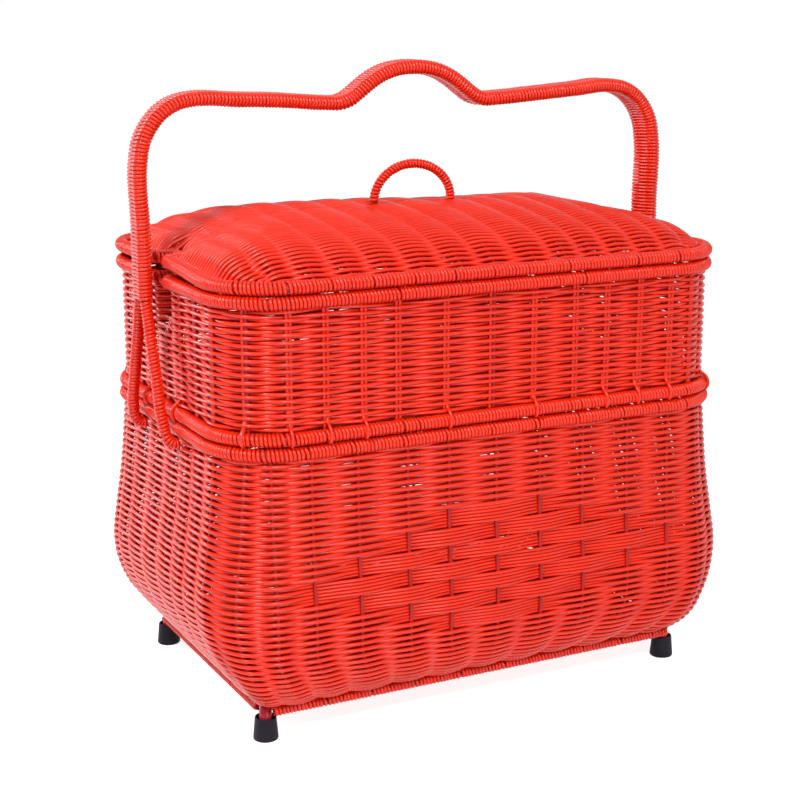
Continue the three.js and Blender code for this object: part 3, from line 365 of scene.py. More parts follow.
def rattan_material():
    """Extruded plastic rattan: bright red, half gloss, each strand a little different."""
    surface = Surface("rattan_red", specular=0.42)
    patches = surface.noise(scale=60)
    tint = surface.nodes.new("ShaderNodeAttribute")
    tint.attribute_name = "tint"
    by_strand = surface.ramp(tint.outputs["Fac"], linear(230, 34, 2), linear(240, 42, 6), 0, 1)
    by_patch = surface.ramp(patches, (0.93, 0.93, 0.93, 1), (1, 1, 1, 1))
    mix = surface.nodes.new("ShaderNodeMix")
    mix.data_type = "RGBA"
    mix.blend_type = "MULTIPLY"
    mix.inputs["Factor"].default_value = 1.0
    surface.links.new(by_strand, mix.inputs["A"])
    surface.links.new(by_patch, mix.inputs["B"])
    surface.colour(mix.outputs["Result"])
    surface.roughness(patches, low=0.18, high=0.3)
    surface.bump(surface.noise(scale=1400, detail=2), strength=0.12, distance=0.0002)
    return surface.material


def paint_material(name, low, high, roughness):
    """Glossy paint on steel with a slight orange-peel surface."""
    surface = Surface(name, specular=0.35)
    wear = surface.noise(scale=120)
    surface.colour(surface.ramp(wear, low, high))
    surface.roughness(wear, low=roughness, high=roughness + 0.14)
    surface.bump(surface.noise(scale=900, detail=2), strength=0.15, distance=0.0002)
    return surface.material


def rubber_material():
    """Dull black rubber with a fine grain."""
    surface = Surface("rubber_black", specular=0.2)
    dust = surface.noise(scale=160)
    surface.colour(surface.ramp(dust, linear(11, 8, 18), linear(22, 17, 32)))
    surface.roughness(dust, low=0.5, high=0.66)
    surface.bump(surface.noise(scale=1600, detail=4), strength=0.25, distance=0.0003)
    return surface.material


RATTAN = rattan_material()
STEEL_PAINT = paint_material("steel_paint", linear(160, 10, 12), linear(182, 16, 16), roughness=0.32)
LEG_PAINT = paint_material("leg_paint", linear(178, 30, 48), linear(196, 38, 58), roughness=0.28)
RUBBER = rubber_material()


# Woven walls

# Height over which a wall's slope is taken, and step both ways for its direction in plan
SLOPE_HEIGHT = 1.0
PLAN_STEP = 0.5


def nothing(*_):
    return 0


def plain_level(row, stake):
    """+1 where a strand passes outside a stake and -1 where it passes inside."""
    return 1 if (row + stake) % 2 == 0 else -1


def wall_normals(px, py, slope_x, slope_y, slope_r):
    """Directions out of a wall and up along it, from its outline and slopes."""
    tx = np.roll(px, -1) - np.roll(px, 1)
    ty = np.roll(py, -1) - np.roll(py, 1)
    plan = unit(np.stack([ty, -tx], axis=1))
    slope = np.abs(plan[:, 0]) * (slope_x - slope_r) + np.abs(plan[:, 1]) * (slope_y - slope_r) + slope_r
    return unit(as_points(*plan.T, -slope)), unit(as_points(*(plan.T * slope), 1))


def wall_rows(
        heights, ring_at, stakes_at, level_at, looseness, strand_width, notch_at=nothing, band_at=nothing):
    """Centre lines, normals, tints and widths of the woven rows of a wall."""
    rows = []
    for row, z in enumerate(heights):
        x, y, r = ring_at(z)
        arcs = stakes_at(z, (x, y, r))

        def around(value_at):
            values = np.array([value_at(row, stake) for stake in range(len(arcs))], float)
            return span_samples(np.append(values, values[0]), STEPS_PER_SPAN, True)

        s = span_samples(np.append(arcs, arcs[0] + perimeter(x, y, r)), STEPS_PER_SPAN, False)
        px, py = outline(x, y, r, s)
        px = notched(px, py, x, notch_at(z))
        rings = zip(ring_at(z + SLOPE_HEIGHT / 2), ring_at(z - SLOPE_HEIGHT / 2))
        normal, upward = wall_normals(px, py, *[(above - below) / SLOPE_HEIGHT for above, below in rings])
        depth = STRAND_WAVE * around(level_at) - STAKE_DEPTH
        banded = around(band_at)
        shift = looseness(row) * (1 - banded) * noise_track(len(s), WALL_KNOTS)
        centre = as_points(px, py, z) + normal * depth[:, None] + upward * shift[:, None]
        width = strand_width + (BAND_STRAND_WIDTH - strand_width) * banded
        rows.append((centre, normal, rng.uniform(0, 1), width))
    return rows


def add_rows(name, rows, body, node):
    strands = Strands()
    for centre, normal, tint, width in rows:
        strands.add(centre, normal, STRAND_RADIUS, width, closed=True, tint=tint)
    strands.piece(name, body, "rattan", node)


def wall_stakes(ring_at, stakes_at, heights, depth, offset=0.0, notch_at=nothing):
    """Upright centre lines inside the weave with their normals, one for each stake."""
    points = []
    normals = []
    for z in heights:
        x, y, r = ring_at(z)
        arcs = stakes_at(z, (x, y, r)) + offset
        px, py = outline(x, y, r, arcs)
        nx, ny = outline(x, y, r, arcs + PLAN_STEP)
        bx, by = outline(x, y, r, arcs - PLAN_STEP)
        plan = unit(np.stack([ny - by, bx - nx], axis=1))
        px = notched(px, py, x, notch_at(z))
        point = as_points(px, py, z)
        point[:, :2] -= plan * depth
        points.append(point)
        normals.append(as_points(*plan.T, 0))
    return list(zip(np.stack(points, axis=1), np.stack(normals, axis=1)))


# Lower wall

# Outer face: height, then half length, half depth and corner radius less the rim's
LOWER_WALL = np.array([
    (28.5, -26, -18, -36),
    (37, -18, -8, -31),
    (46, -11, -1.5, -26),
    (60, -0.6, 4, -14),
    (78, 8.2, 6.5, -7),
    (104, 13.4, 7, -2),
    (132, 11.2, 4.6, -1),
    (165, 6.8, 2.2, -1),
    (196, 3.8, 1, -1),
    (223.4, 1.8, 0.8, 0),
]) + np.array([0, HALF_LENGTH, HALF_DEPTH, CORNER_RADIUS])
LOWER_WALL_BOTTOM, LOWER_WALL_TOP = LOWER_WALL[[0, -1], 0]
LOWER_FRONT_STAKES = [-186, -155, -118, -77, -42, -1, 38, 77, 119, 158, 191]
LOWER_SIDE_STAKES = [-101, -71, -46, -16, 20, 58, 87, 112]
LOWER_STAKE_RADIUS = 1.6
LOWER_LOOSENESS = 0.12
# The stakes stand upright from here on, and draw together below
UPRIGHT_FROM_Z = 73.3

# Block weave: a diamond of bands of five strands on the front
DIAMOND_TOP_Z = 168.5
BAND_ROWS = 5
DIAMOND_BANDS = 7
DIAMOND_MIDDLE_STAKE = 5
DIAMOND_REACH = 4


def lower_ring(z):
    return [spline(LOWER_WALL[:, 0], LOWER_WALL[:, i], z) for i in (1, 2, 3)]


def lower_stakes(z, ring):
    upright = lower_ring(max(z, UPRIGHT_FROM_Z))
    front = [v * ring[0] / upright[0] for v in LOWER_FRONT_STAKES]
    side = [v * ring[1] / upright[1] for v in LOWER_SIDE_STAKES]
    return stake_arcs(*ring, front, side)


def diamond_steps(row, stake, top_row):
    """Steps in stakes and bands from the diamond's middle, or None outside the diamond."""
    band = (top_row - row) // BAND_ROWS
    steps = abs(stake - DIAMOND_MIDDLE_STAKE) + abs(band - DIAMOND_BANDS // 2)
    return steps if 0 <= band < DIAMOND_BANDS and steps <= DIAMOND_REACH else None


def build_lower_wall():
    z = np.linspace(LOWER_WALL_BOTTOM + 0.4, LOWER_WALL_TOP - 0.2, 600)
    x, y, _ = lower_ring(z)
    heights = rows_along(z, (x + y) / 2)
    top_row = int(np.argmin(np.abs(heights - DIAMOND_TOP_Z)))

    def level_at(row, stake):
        steps = diamond_steps(row, stake, top_row)
        if steps is None:
            return plain_level(row, stake)
        return 1 if steps % 2 else -1

    def band_at(row, stake):
        return diamond_steps(row, stake, top_row) is not None

    rows = wall_rows(
        heights, lower_ring, lower_stakes, level_at, lambda row: LOWER_LOOSENESS, LOWER_STRAND_WIDTH,
        band_at=band_at)
    third = len(rows) // 3
    parts = {"bottom": rows[:third], "middle": rows[third:2 * third], "top": rows[2 * third:]}
    for part, part_rows in parts.items():
        add_rows(f"lower_weave_{part}", part_rows, "lower_basket", "lower_wall")
    stakes = Strands()
    stake_heights = np.linspace(LOWER_WALL_BOTTOM - 1, LOWER_WALL_TOP + 2, 60)
    for path, normal in wall_stakes(lower_ring, lower_stakes, stake_heights, STAKE_DEPTH):
        stakes.add(path, normal, LOWER_STAKE_RADIUS)
    stakes.piece("lower_stakes", "lower_basket", "frame")


# Tray wall

TRAY_WALL = (HALF_LENGTH, HALF_DEPTH - 0.4, UPPER_CORNER_RADIUS)
TRAY_WALL_BOTTOM = 245.6
TRAY_WALL_TOP = 333.1
TRAY_NOTCH_BOTTOM = 292
TRAY_NOTCH_TOP = TRAY_WALL_TOP - 4
TRAY_FRONT_STAKES = [-171, -142, -112, -84, -44, -5, 32, 69, 98, 129, 158, 181]
TRAY_SIDE_STAKES = [-97, -64, -32, 0, 32, 64, 97]
# The top rows lie further apart, and the strands loosen towards the top
TRAY_TOP_ROWS = 5
TRAY_TOP_ROWS_HEIGHT = 14
TRAY_TOP_ROW_PITCH = 2.8
TRAY_LOOSE_ROWS = 8
TRAY_LOOSENESS = 0.48
TRAY_TOP_LOOSENESS = 0.6
# Each stake is two strands side by side; in every ninth one of them is steel
STAKE_HALF_SPACING = 1.5
STEEL_STAKE_EVERY = 9
FIRST_STEEL_STAKE = 5
STEEL_STAKE_RADIUS = 1.5
# Distance outside the wall and height along a strand that is folded over the base rim
FOLDED_END = np.array([
    (-3.2, 262), (-2.8, 254), (-0.9, 250), (2.4, 247.4), (4.9, 244.6), (5.7, 241), (5.2, 237.6),
    (3.2, 235.2),
])
FOLDED_FRONT = [-171, -142, -113, -44, 31, 95, 125, 155]
FOLDED_SIDE = [-32, 32]
FOLDED_RADIUS = 1.3


def tray_ring(z):
    return TRAY_WALL


def tray_stakes(z, ring):
    return stake_arcs(*ring, TRAY_FRONT_STAKES, TRAY_SIDE_STAKES)


def tray_notch(z):
    return NOTCH_DEPTH * float(ease(z, TRAY_NOTCH_BOTTOM, TRAY_NOTCH_TOP))


def add_folded_ends(strands):
    """Stake strands that come out below the tray's weave and lie over its base rim."""
    length = perimeter(*TRAY_WALL)
    at = np.linspace(0, len(FOLDED_END) - 1, 26)
    outward, z = [spline(np.arange(len(FOLDED_END)), column, at) for column in FOLDED_END.T]
    share = np.linspace(1, 0, len(at))[:, None]
    for s in stake_arcs(*TRAY_WALL, FOLDED_FRONT, FOLDED_SIDE):
        px, py = outline(*TRAY_WALL, np.array([s - PLAN_STEP, s, s + PLAN_STEP]) % length)
        plan = unit(np.array([py[2] - py[0], px[0] - px[2]]))
        along = np.array([-plan[1], plan[0]])
        lean = along * rng.uniform(-0.8, 0.2)
        flat = np.array([px[1], py[1]]) + outward[:, None] * plan + share * lean
        strands.add(as_points(*flat.T, z), np.append(along, 0), FOLDED_RADIUS, tint=rng.uniform(0.3, 1))


def build_tray_wall():
    heights = np.arange(TRAY_WALL_BOTTOM + STRAND_RADIUS, TRAY_WALL_TOP - TRAY_TOP_ROWS_HEIGHT, ROW_PITCH)
    first_top_row = heights[-1] + TRAY_TOP_ROW_PITCH
    top_rows = np.linspace(first_top_row, TRAY_WALL_TOP - STRAND_RADIUS, TRAY_TOP_ROWS)
    heights = np.append(heights, top_rows)

    def looseness(row):
        near_top = ease(row, len(heights) - TRAY_LOOSE_ROWS, len(heights))
        return TRAY_LOOSENESS + TRAY_TOP_LOOSENESS * float(near_top)

    rows = wall_rows(heights, tray_ring, tray_stakes, plain_level, looseness, TRAY_STRAND_WIDTH, tray_notch)
    add_rows("tray_weave", rows, "tray", "tray_wall")
    doubled = Strands()
    steel = Strands()
    stake_heights = np.linspace(TRAY_WALL_BOTTOM - 3, TRAY_WALL_TOP + 3, 30)
    for offset in (-STAKE_HALF_SPACING, STAKE_HALF_SPACING):
        lines = wall_stakes(tray_ring, tray_stakes, stake_heights, STAKE_DEPTH, offset, tray_notch)
        for k, (path, normal) in enumerate(lines):
            if k % STEEL_STAKE_EVERY == FIRST_STEEL_STAKE and offset > 0:
                steel.add(path, normal, STEEL_STAKE_RADIUS)
            else:
                doubled.add(path, normal, STRAND_RADIUS, tint=rng.uniform(0, 1))
    add_folded_ends(doubled)
    doubled.piece("tray_stakes", "tray", "rattan")
    steel.piece("tray_steel_stakes", "tray", "frame")


# Windings: pitch, half thickness and half width of the strand, and samples in a turn

Wrap = namedtuple("Wrap", "pitch radius width steps")
RIM_WRAP = Wrap(2.92, 1.3, 1.4, 14)
HANDLE_WRAP = Wrap(2.8, 1.3, 1.4, 18)
FORK_WRAP = Wrap(2.85, 1.2, 1.38, 12)
BASE_WRAP = Wrap(3.05, 1.3, 1.45, 12)
LOOP_WRAP = Wrap(2.8, 1.2, 1.36, 12)
# Largest lift of a turn, step both ways for a path's direction, and share of a pitch for a gap to open
WRAP_LIFT = 0.1
DIRECTION_STEP = 0.6
GAP_SHARE = 0.9


def smooth_path(points, count):
    """Smooth curve through points with its arc lengths."""
    points = np.asarray(points, float)
    chord = arc_lengths(points)
    at = np.linspace(0, chord[-1], count)
    curve = np.stack([spline(chord, column, at) for column in points.T], axis=1)
    return curve, arc_lengths(curve)


def at_arc(curve, arc, s):
    return np.stack([np.interp(s, arc, column) for column in curve.T], axis=1)


def round_turn(radius):
    """One turn round a rod: offsets and directions across it."""
    def turn(angle):
        u = np.cos(angle)
        v = np.sin(angle)
        return radius * u, radius * v, u, v
    return turn


def paired_turn(radius, half_spacing, dip):
    """One turn round two rods side by side, with a slight dip between them."""
    half_turn = math.pi * radius
    edges = np.cumsum([half_turn, 2 * half_spacing, half_turn, 2 * half_spacing])

    def turn(angle):
        t = np.mod(angle / (2 * math.pi), 1) * edges[-1]
        u, v, nu, nv = np.empty((4, len(t)))
        part = np.searchsorted(edges, t, side="right").clip(0, 3)
        local = t - np.concatenate([[0], edges])[part]
        for index, end in ((0, 1), (2, -1)):
            m = part == index
            a = local[m] / radius + (0 if end == 1 else math.pi)
            u[m] = radius * np.cos(a)
            v[m] = radius * np.sin(a) + end * half_spacing
            nu[m] = np.cos(a)
            nv[m] = np.sin(a)
        for index, face in ((1, -1), (3, 1)):
            m = part == index
            v[m] = -face * (half_spacing - local[m])
            sag = dip * np.cos(v[m] / half_spacing * math.pi / 2) ** 2
            u[m] = face * (radius - sag)
            nu[m] = face
            nv[m] = 0
        return u, v, nu, nv
    return turn


def add_winding(
        name, body, node, path, side, turn, wrap, bare=(0, 0), gaps=(), loose=0.06, sides=SLIM_SIDES):
    """One strand wound along a path but for its bare ends, with extra room at the gaps."""
    curve, arc = path
    start = bare[0]
    end = arc[-1] - bare[1]
    gaps = sorted(gaps)
    wound = end - start - sum(room for _, room in gaps)
    turns = max(int(round(wound / wrap.pitch)), 2)
    angle = np.linspace(0, turns * 2 * math.pi, turns * wrap.steps + 1)
    turn_ends = np.linspace(0, angle[-1], turns + 1)
    jitter = np.interp(angle, turn_ends, rng.uniform(-loose, loose, turns + 1))
    s = start + wound * angle / angle[-1] + wrap.pitch * jitter
    for at, room in gaps:
        s = s + room * smoothstep((s - at) / (wrap.pitch * GAP_SHARE))
    s = np.clip(s, arc[0], arc[-1])
    centre = at_arc(curve, arc, s)
    ahead = at_arc(curve, arc, np.minimum(s + DIRECTION_STEP, arc[-1]))
    behind = at_arc(curve, arc, np.maximum(s - DIRECTION_STEP, arc[0]))
    tangent = unit(ahead - behind)
    if callable(side):
        side = side(centre[:, 0])
    first = unit(np.cross(side, tangent))
    second = unit(np.cross(tangent, first))
    u, v, nu, nv = turn(angle)
    normal = first * nu[:, None] + second * nv[:, None]
    lift = WRAP_LIFT * np.interp(angle, turn_ends, rng.uniform(-1, 1, turns + 1))
    line = centre + first * u[:, None] + second * v[:, None] + normal * lift[:, None]
    strands = Strands()
    strands.add(line, normal, wrap.radius, wrap.width, sides=sides, tint=rng.uniform(0.2, 0.9))
    strands.piece(name, body, "rattan", node)


# Rims

# Places of the gaps in the windings, along the front and along a short side
LOWER_RIM_GAPS = [-215, -193, -162, -126, -84, -48, -9, 30, 67, 109, 144, 171]
TRAY_BASE_GAPS = [-212, -200, -178, -146, -84, -72, 60, 71, 171]
TRAY_TOP_GAPS = [-182, -85, 69, 178]
LID_RIM_GAPS = [-203, -169, -136, -104, -71, -40, -8, 22, 56, 117, 153]
RIM_SIDE_GAPS = (-88, -31, 34, 91)
RIM_GAP_WIDTH = 1.2
# At the middle of the back the winding's ends meet, and there is no gap nearby
RIM_BARE_END = 2
RIM_END_CLEARANCE = 12


def rim_path(rim, notch, rise):
    """Closed rim line with its arc lengths, from the middle of the back."""
    x, y, r, z = rim
    length = perimeter(x, y, r)
    s = np.linspace(0, length, 2400, endpoint=False) + length / 2
    px, py = outline(x, y, r, s)
    px = notched(px, py, x, notch)
    curve = as_points(px, py, z if rise is None else z + rise(px, py))
    curve = np.vstack([curve, curve[:1]])
    return curve, arc_lengths(curve)


def add_rim(name, rim, notch, body, front_gaps, rise=None):
    """Winding and steel of a rim; the winding parts where a stake is bound in."""
    curve, arc = rim_path(rim, notch, rise)
    length = perimeter(*rim[:3])
    back_gaps = [length / 2 - v for v in front_gaps]
    side_gaps = [sign * (length / 4 + v) for v in RIM_SIDE_GAPS for sign in (-1, 1)]
    gaps = []
    for s in [*front_gaps, *back_gaps, *side_gaps]:
        at = np.mod(s - length / 2, length)
        if RIM_END_CLEARANCE < at < length - RIM_END_CLEARANCE:
            gaps.append((at * arc[-1] / length, RIM_GAP_WIDTH * rng.uniform(0.5, 1.3)))
    turn = round_turn(RIM_OUTER_RADIUS - RIM_WRAP.radius)
    add_winding(
        f"{name}_winding", body, f"{name}_binding", (curve, arc), UP, turn, RIM_WRAP,
        (RIM_BARE_END, RIM_BARE_END), gaps, sides=STRAND_SIDES)
    steel = Strands()
    steel.add(curve[:-1:6], UP, RIM_ROD_RADIUS, sides=10, closed=True)
    steel.piece(f"{name}_steel", body, "frame", f"{name}_rod")


def build_rims():
    add_rim("lower_top_rim", LOWER_RIM, 0, "lower_basket", LOWER_RIM_GAPS)
    add_rim("tray_base_rim", TRAY_BASE_RIM, 0, "tray", TRAY_BASE_GAPS)
    add_rim("tray_top_rim", TRAY_TOP_RIM, NOTCH_DEPTH, "tray", TRAY_TOP_GAPS)
    add_rim("lid_rim", LID_RIM, NOTCH_DEPTH, "lid", LID_RIM_GAPS, lid_rise)


# Carry handle: one winding over two rods, and four single windings below the fork

HANDLE_LEG_X = HALF_LENGTH + 14.5
HANDLE_HALF_THICKNESS = 5.9
HANDLE_ROD_Y = 8.1
HANDLE_DIP = 0.9
HANDLE_SPLIT_Z = 325
ARCH_TOP_Z = 494.1
FORK_OUTER_RADIUS = 4.8
FORK_BARE_END = 1.5
# X and drop below the arch's top along half of the handle
HANDLE_HALF_PATH = [
    (0, 0), (9, 0.4), (18, 1.9), (30, 6.3), (40, 12.3), (49, 19), (57, 24.3), (64, 26.4), (76, 26.2),
    (110, 23.8), (150, 20.8), (186, 18.5), (200, 21), (212, 27.5), (221, 37), (227.5, 49), (230.5, 64),
    (230.5, 114.1), (230.5, ARCH_TOP_Z - HANDLE_SPLIT_Z),
]
# A rod from the fork to its end under the lower rim
FORK_TAIL = [
    (230.5, 10.5, 312), (230.5, 14, 300), (230.5, 27, 262), (230, 35.5, 234),
    (227.9, 37.8, 223.5), (223.5, 38.6, 218.6), (218.6, 38.8, 218),
]
# Shifts of the hump and the right leg along X, and drop of the left shoulder
HUMP_SHIFT = -2.4
RIGHT_LEG_SHIFT = -2.6
LEFT_SHOULDER_DROP = 2.0
# Twist in degrees at the middle, and how much it differs this far out on either side
HANDLE_TWIST = 1
HANDLE_END_TWIST = 6
TWIST_REACH = 200


def uneven_handle(curve):
    """The hump sits further left, the left shoulder is lower and the right leg stands further in."""
    x, y, z = curve.T
    hump = HUMP_SHIFT * (1 - ease(np.abs(x), 70, 120))
    right_leg = RIGHT_LEG_SHIFT * ease(x, 150, 210) * ease(z, 235, 325)
    shoulder = LEFT_SHOULDER_DROP * ease(-x, 110, 180) * ease(z, 400, 460)
    return as_points(x + hump + right_leg, y, z - shoulder)


def handle_side(x):
    """The direction from the front rod to the rear one: the handle is twisted a little."""
    share = np.clip(np.asarray(x, float) / TWIST_REACH, -1, 1)
    twist = np.radians(HANDLE_TWIST + HANDLE_END_TWIST * share)
    return as_points(-np.sin(twist), np.cos(twist), 0)


def add_handle_winding(name, node, points, count, side, turn, wrap, bare=(0, 0)):
    curve, arc = smooth_path(points, count)
    add_winding(name, "lower_basket", node, (uneven_handle(curve), arc), side, turn, wrap, bare)


def build_handle():
    half = [(x, 0, ARCH_TOP_Z - drop) for x, drop in HANDLE_HALF_PATH]
    line = [(-x, y, z) for x, y, z in reversed(half[1:])] + half
    turn = paired_turn(HANDLE_HALF_THICKNESS - HANDLE_WRAP.radius, HANDLE_ROD_Y, HANDLE_DIP)
    add_handle_winding("handle_winding", "handle_binding", line, 4000, handle_side, turn, HANDLE_WRAP)
    turn = round_turn(FORK_OUTER_RADIUS - FORK_WRAP.radius)
    for side, sx in (("left", -1), ("right", 1)):
        for end, sy in (("front", -1), ("rear", 1)):
            spread = sy * HANDLE_ROD_Y * handle_side(sx * HANDLE_LEG_X)
            start = (sx * HANDLE_LEG_X + spread[0], spread[1], HANDLE_SPLIT_Z)
            line = [start] + [(sx * x, sy * y, z) for x, y, z in FORK_TAIL]
            add_handle_winding(
                f"fork_winding_{end}_{side}", f"leg_binding_{end}_{side}", line, 600, ACROSS, turn,
                FORK_WRAP, (0, FORK_BARE_END))


# Base: bound bars, leg tubes and rubber feet

BASE_BAR_Z = 25
BASE_BAR_RADIUS = 4.2
BASE_TURN_INSET = 1.1
LEG_X = 182.5
LEG_Y = 110.5
LEG_RADIUS = 4.8
LEG_BOTTOM = 5.3
LEG_TOP = 28.2
LEG_CHAMFER = (1, 0.4)
# Room between a leg and a bar
LEG_CLEARANCE = 0.3
# The front and back bars end short of the legs' X, and the side bars lie outside it
FRONT_BAR_SHORTFALL = 3
SIDE_BAR_OFFSET = 3.5
# Where the winding parts, as shares of a bar's length
BASE_BAR_GAPS = (0.11, 0.22, 0.33, 0.44, 0.55, 0.65, 0.76, 0.86, 0.95)
BASE_GAP_WIDTH = 1.4
BASE_LOOSENESS = 0.12
CORNERS = {
    "front_left": (-1, -1), "front_right": (1, -1), "back_left": (-1, 1), "back_right": (1, 1),
}
FOOT_PROFILE = [
    (8.6, 0), (9.2, 0.15), (9.6, 0.6), (9.72, 1.3), (9.5, 4), (8.9, 10), (8.3, 16.6), (8.2, 17.4),
    (7.95, 17.9), (7.6, 18), (7.1, 17.8), (6.8, 17.2), (6.5, 15.4), (5.15, 14.8), (5.1, 5), (0.4, 5),
]


def build_base_bars():
    front_y = LEG_Y + LEG_RADIUS + BASE_BAR_RADIUS + LEG_CLEARANCE
    side_x = LEG_X + SIDE_BAR_OFFSET
    front_end = LEG_X - FRONT_BAR_SHORTFALL
    side_end = LEG_Y - LEG_RADIUS - LEG_CLEARANCE
    bars = {
        "front": ((-front_end, -front_y), (front_end, -front_y)),
        "back": ((-front_end, front_y), (front_end, front_y)),
        "left": ((-side_x, -side_end), (-side_x, side_end)),
        "right": ((side_x, -side_end), (side_x, side_end)),
    }
    turn = round_turn(BASE_BAR_RADIUS - BASE_TURN_INSET)
    for bar, (start, end) in bars.items():
        line = np.linspace((*start, BASE_BAR_Z), (*end, BASE_BAR_Z), 60)
        curve, arc = smooth_path(line, 120)
        gaps = [(share * arc[-1], BASE_GAP_WIDTH * rng.uniform(0.4, 1.2)) for share in BASE_BAR_GAPS]
        add_winding(
            f"base_{bar}_winding", "lower_basket", f"base_bar_{bar}_binding", (curve, arc), UP, turn,
            BASE_WRAP, gaps=gaps, loose=BASE_LOOSENESS)


def lathe(name, profile, x, y, material, segments=48):
    """Solid of revolution from a profile of radius and height, closed at its first and last ring."""
    radius, z = np.asarray(profile, float).T[:, :, None]
    angles = np.arange(segments) / segments * 2 * math.pi
    rings = as_points(x + radius * np.cos(angles), y + radius * np.sin(angles), z)
    quads, caps = ring_faces(len(z), segments)
    return new_piece(name, rings.reshape(-1, 3), [quads] + caps, material)


def build_feet():
    inset, rise = LEG_CHAMFER
    tube = [(LEG_RADIUS - inset, LEG_BOTTOM), (LEG_RADIUS, LEG_BOTTOM + rise), (LEG_RADIUS, LEG_TOP)]
    for corner, (sx, sy) in CORNERS.items():
        foot = lathe(f"rubber_foot_{corner}", FOOT_PROFILE, sx * LEG_X, sy * LEG_Y, RUBBER)
        finish_piece(foot, "lower_basket", "rubber", f"foot_{corner}")
        leg = lathe(f"leg_tube_{corner}", tube, sx * LEG_X, sy * LEG_Y, LEG_PAINT)
        finish_piece(leg, "lower_basket", "frame", f"leg_{corner}")


# Posts: upright steel rods inside the weave at the corners

POST_DEPTH = 10.4
POST_RADIUS = 2.5
POST_SIDES = 12
LOWER_POST_HEIGHTS = np.linspace(38, 222, 40)
TRAY_POST_HEIGHTS = np.linspace(245, 333, 12)


def add_posts(basket, body, lines, front_stakes, side_stakes):
    """A rod along the stake at each corner, which follows those of the front, side or back."""
    stake = -1
    corners = ("front_right", "back_right", "back_left", "front_left")
    for corner, stakes in zip(corners, 2 * (front_stakes, side_stakes)):
        stake += len(stakes) + 1
        rod = Strands()
        rod.add(*lines[stake], POST_RADIUS, sides=POST_SIDES)
        rod.piece(f"{basket}_frame_{corner}", body, "frame", f"{basket}_post_{corner}")


def build_posts():
    lines = wall_stakes(lower_ring, lower_stakes, LOWER_POST_HEIGHTS, POST_DEPTH)
    add_posts("lower", "lower_basket", lines, LOWER_FRONT_STAKES, LOWER_SIDE_STAKES)
    lines = wall_stakes(tray_ring, tray_stakes, TRAY_POST_HEIGHTS, POST_DEPTH, notch_at=tray_notch)
    add_posts("tray", "tray", lines, TRAY_FRONT_STAKES, TRAY_SIDE_STAKES)


# Floors: flat plain weave over cross stakes

# Half length, half depth, corner radius and height of the top
LOWER_FLOOR = (181, 115, 18, 33.5)
TRAY_FLOOR = (209.8, 137, 43.9, 244.5)
LOWER_FLOOR_STAKES = np.linspace(-170, 170, 12).tolist()
TRAY_FLOOR_STAKES = np.linspace(-195, 195, 14).tolist()
FLOOR_STRAND_RADIUS = 1.3
FLOOR_WAVE = 1.15
FLOOR_SWAY = 0.15
# Room from the outline to a strand's end, and from there to the last stake crossed
FLOOR_EDGE_GAP = 0.5
FLOOR_STAKE_GAP = 4


def flat_weave(name, floor, stake_xs, body):
    half_x, half_y, radius, top = floor
    strands = Strands()
    stakes = Strands()
    middle = top - FLOOR_STRAND_RADIUS - FLOOR_WAVE
    last_y = half_y - FLOOR_STRAND_RADIUS
    for row, y in enumerate(np.linspace(-last_y, last_y, int(2 * last_y / ROW_PITCH))):
        edge = half_chord(half_x, half_y, radius, y) - FLOOR_EDGE_GAP
        inner = [v for v in stake_xs if abs(v) < edge - FLOOR_STAKE_GAP]
        first = row + stake_xs.index(inner[0])
        levels = [-plain_level(first, k) for k in range(len(inner))]
        ends = np.array([-edge] + inner + [edge])
        x, level = open_samples(ends, np.array([0.0] + levels + [0.0]), FLOOR_STEPS_PER_SPAN)
        sway = FLOOR_SWAY * noise_track(len(x), FLOOR_KNOTS, False)
        path = as_points(x, y + sway, middle + FLOOR_WAVE * level)
        strands.add(path, UP, FLOOR_STRAND_RADIUS, sides=SLIM_SIDES, tint=rng.uniform(0, 1))
    for x in stake_xs:
        edge = half_chord(half_y, half_x, radius, x) - FLOOR_EDGE_GAP
        stakes.add(np.linspace((x, -edge, middle), (x, edge, middle), 4), UP, FLOOR_STRAND_RADIUS)
    strands.piece(f"{name}_weave", body, "rattan", name)
    stakes.piece(f"{name}_stakes", body, "frame")


def build_floors():
    flat_weave("lower_floor", LOWER_FLOOR, LOWER_FLOOR_STAKES, "lower_basket")
    flat_weave("tray_floor", TRAY_FLOOR, TRAY_FLOOR_STAKES, "tray")


# Lid: strands along X over ribs along Y, domed

# Inward distance from the rim's centre line against height above it
LID_PROFILE = np.array([
    (2.5, 0.2), (5.9, 3), (9.5, 5.8), (16, 10.9), (25, 16.9), (40, 23.4), (60, 28.4), (88, 32.9),
    (122, 36.4), (142.5, 37.4),
])
LID_EDGE = 4.2
# The dome's rings draw in more slowly along X, and their corners tighten inwards
LID_END_SHARE = 0.75
LID_SHRINK = 0.6
LID_LEAST_CORNER = 6
# The left end stands proud of the tray, most at the notch; this fades inwards
LID_NOTCH_RISE = 4.5
LID_BACK_RISE = 2.8
LID_RISE_FADE = 16
# Fuller at the back left and lower at the right end, as shares of the height
LID_BACK_FULLNESS = 0.1
LID_RIGHT_DROP = 0.06
# From a notch the dome rises sooner than from the rim, and the two join softly
LID_NOTCH_START = 7
LID_NOTCH_SLOPE = 1.6
LID_NOTCH_SOFTNESS = 3
LID_NOTCH_EDGE = 2.4
LID_SLOPE_STEP = 0.8
# Places of the ribs, and room between the last one and a strand's end
LID_RIDGES = [-198, -175, -147, -117, -88, -58, -27, 1, 37, 65, 90, 116, 143, 170, 197]
LID_RIDGE_GAP = 6
LID_RIB_RADIUS = 1.5
LID_RIB_CORNER = 47
# Level of a strand at its ends, and under or over the last rib
LID_EDGE_LEVEL = 0.2
LID_END_LEVELS = (-1.3, 1.5)
SEAM_HALF_GAP = 0.5
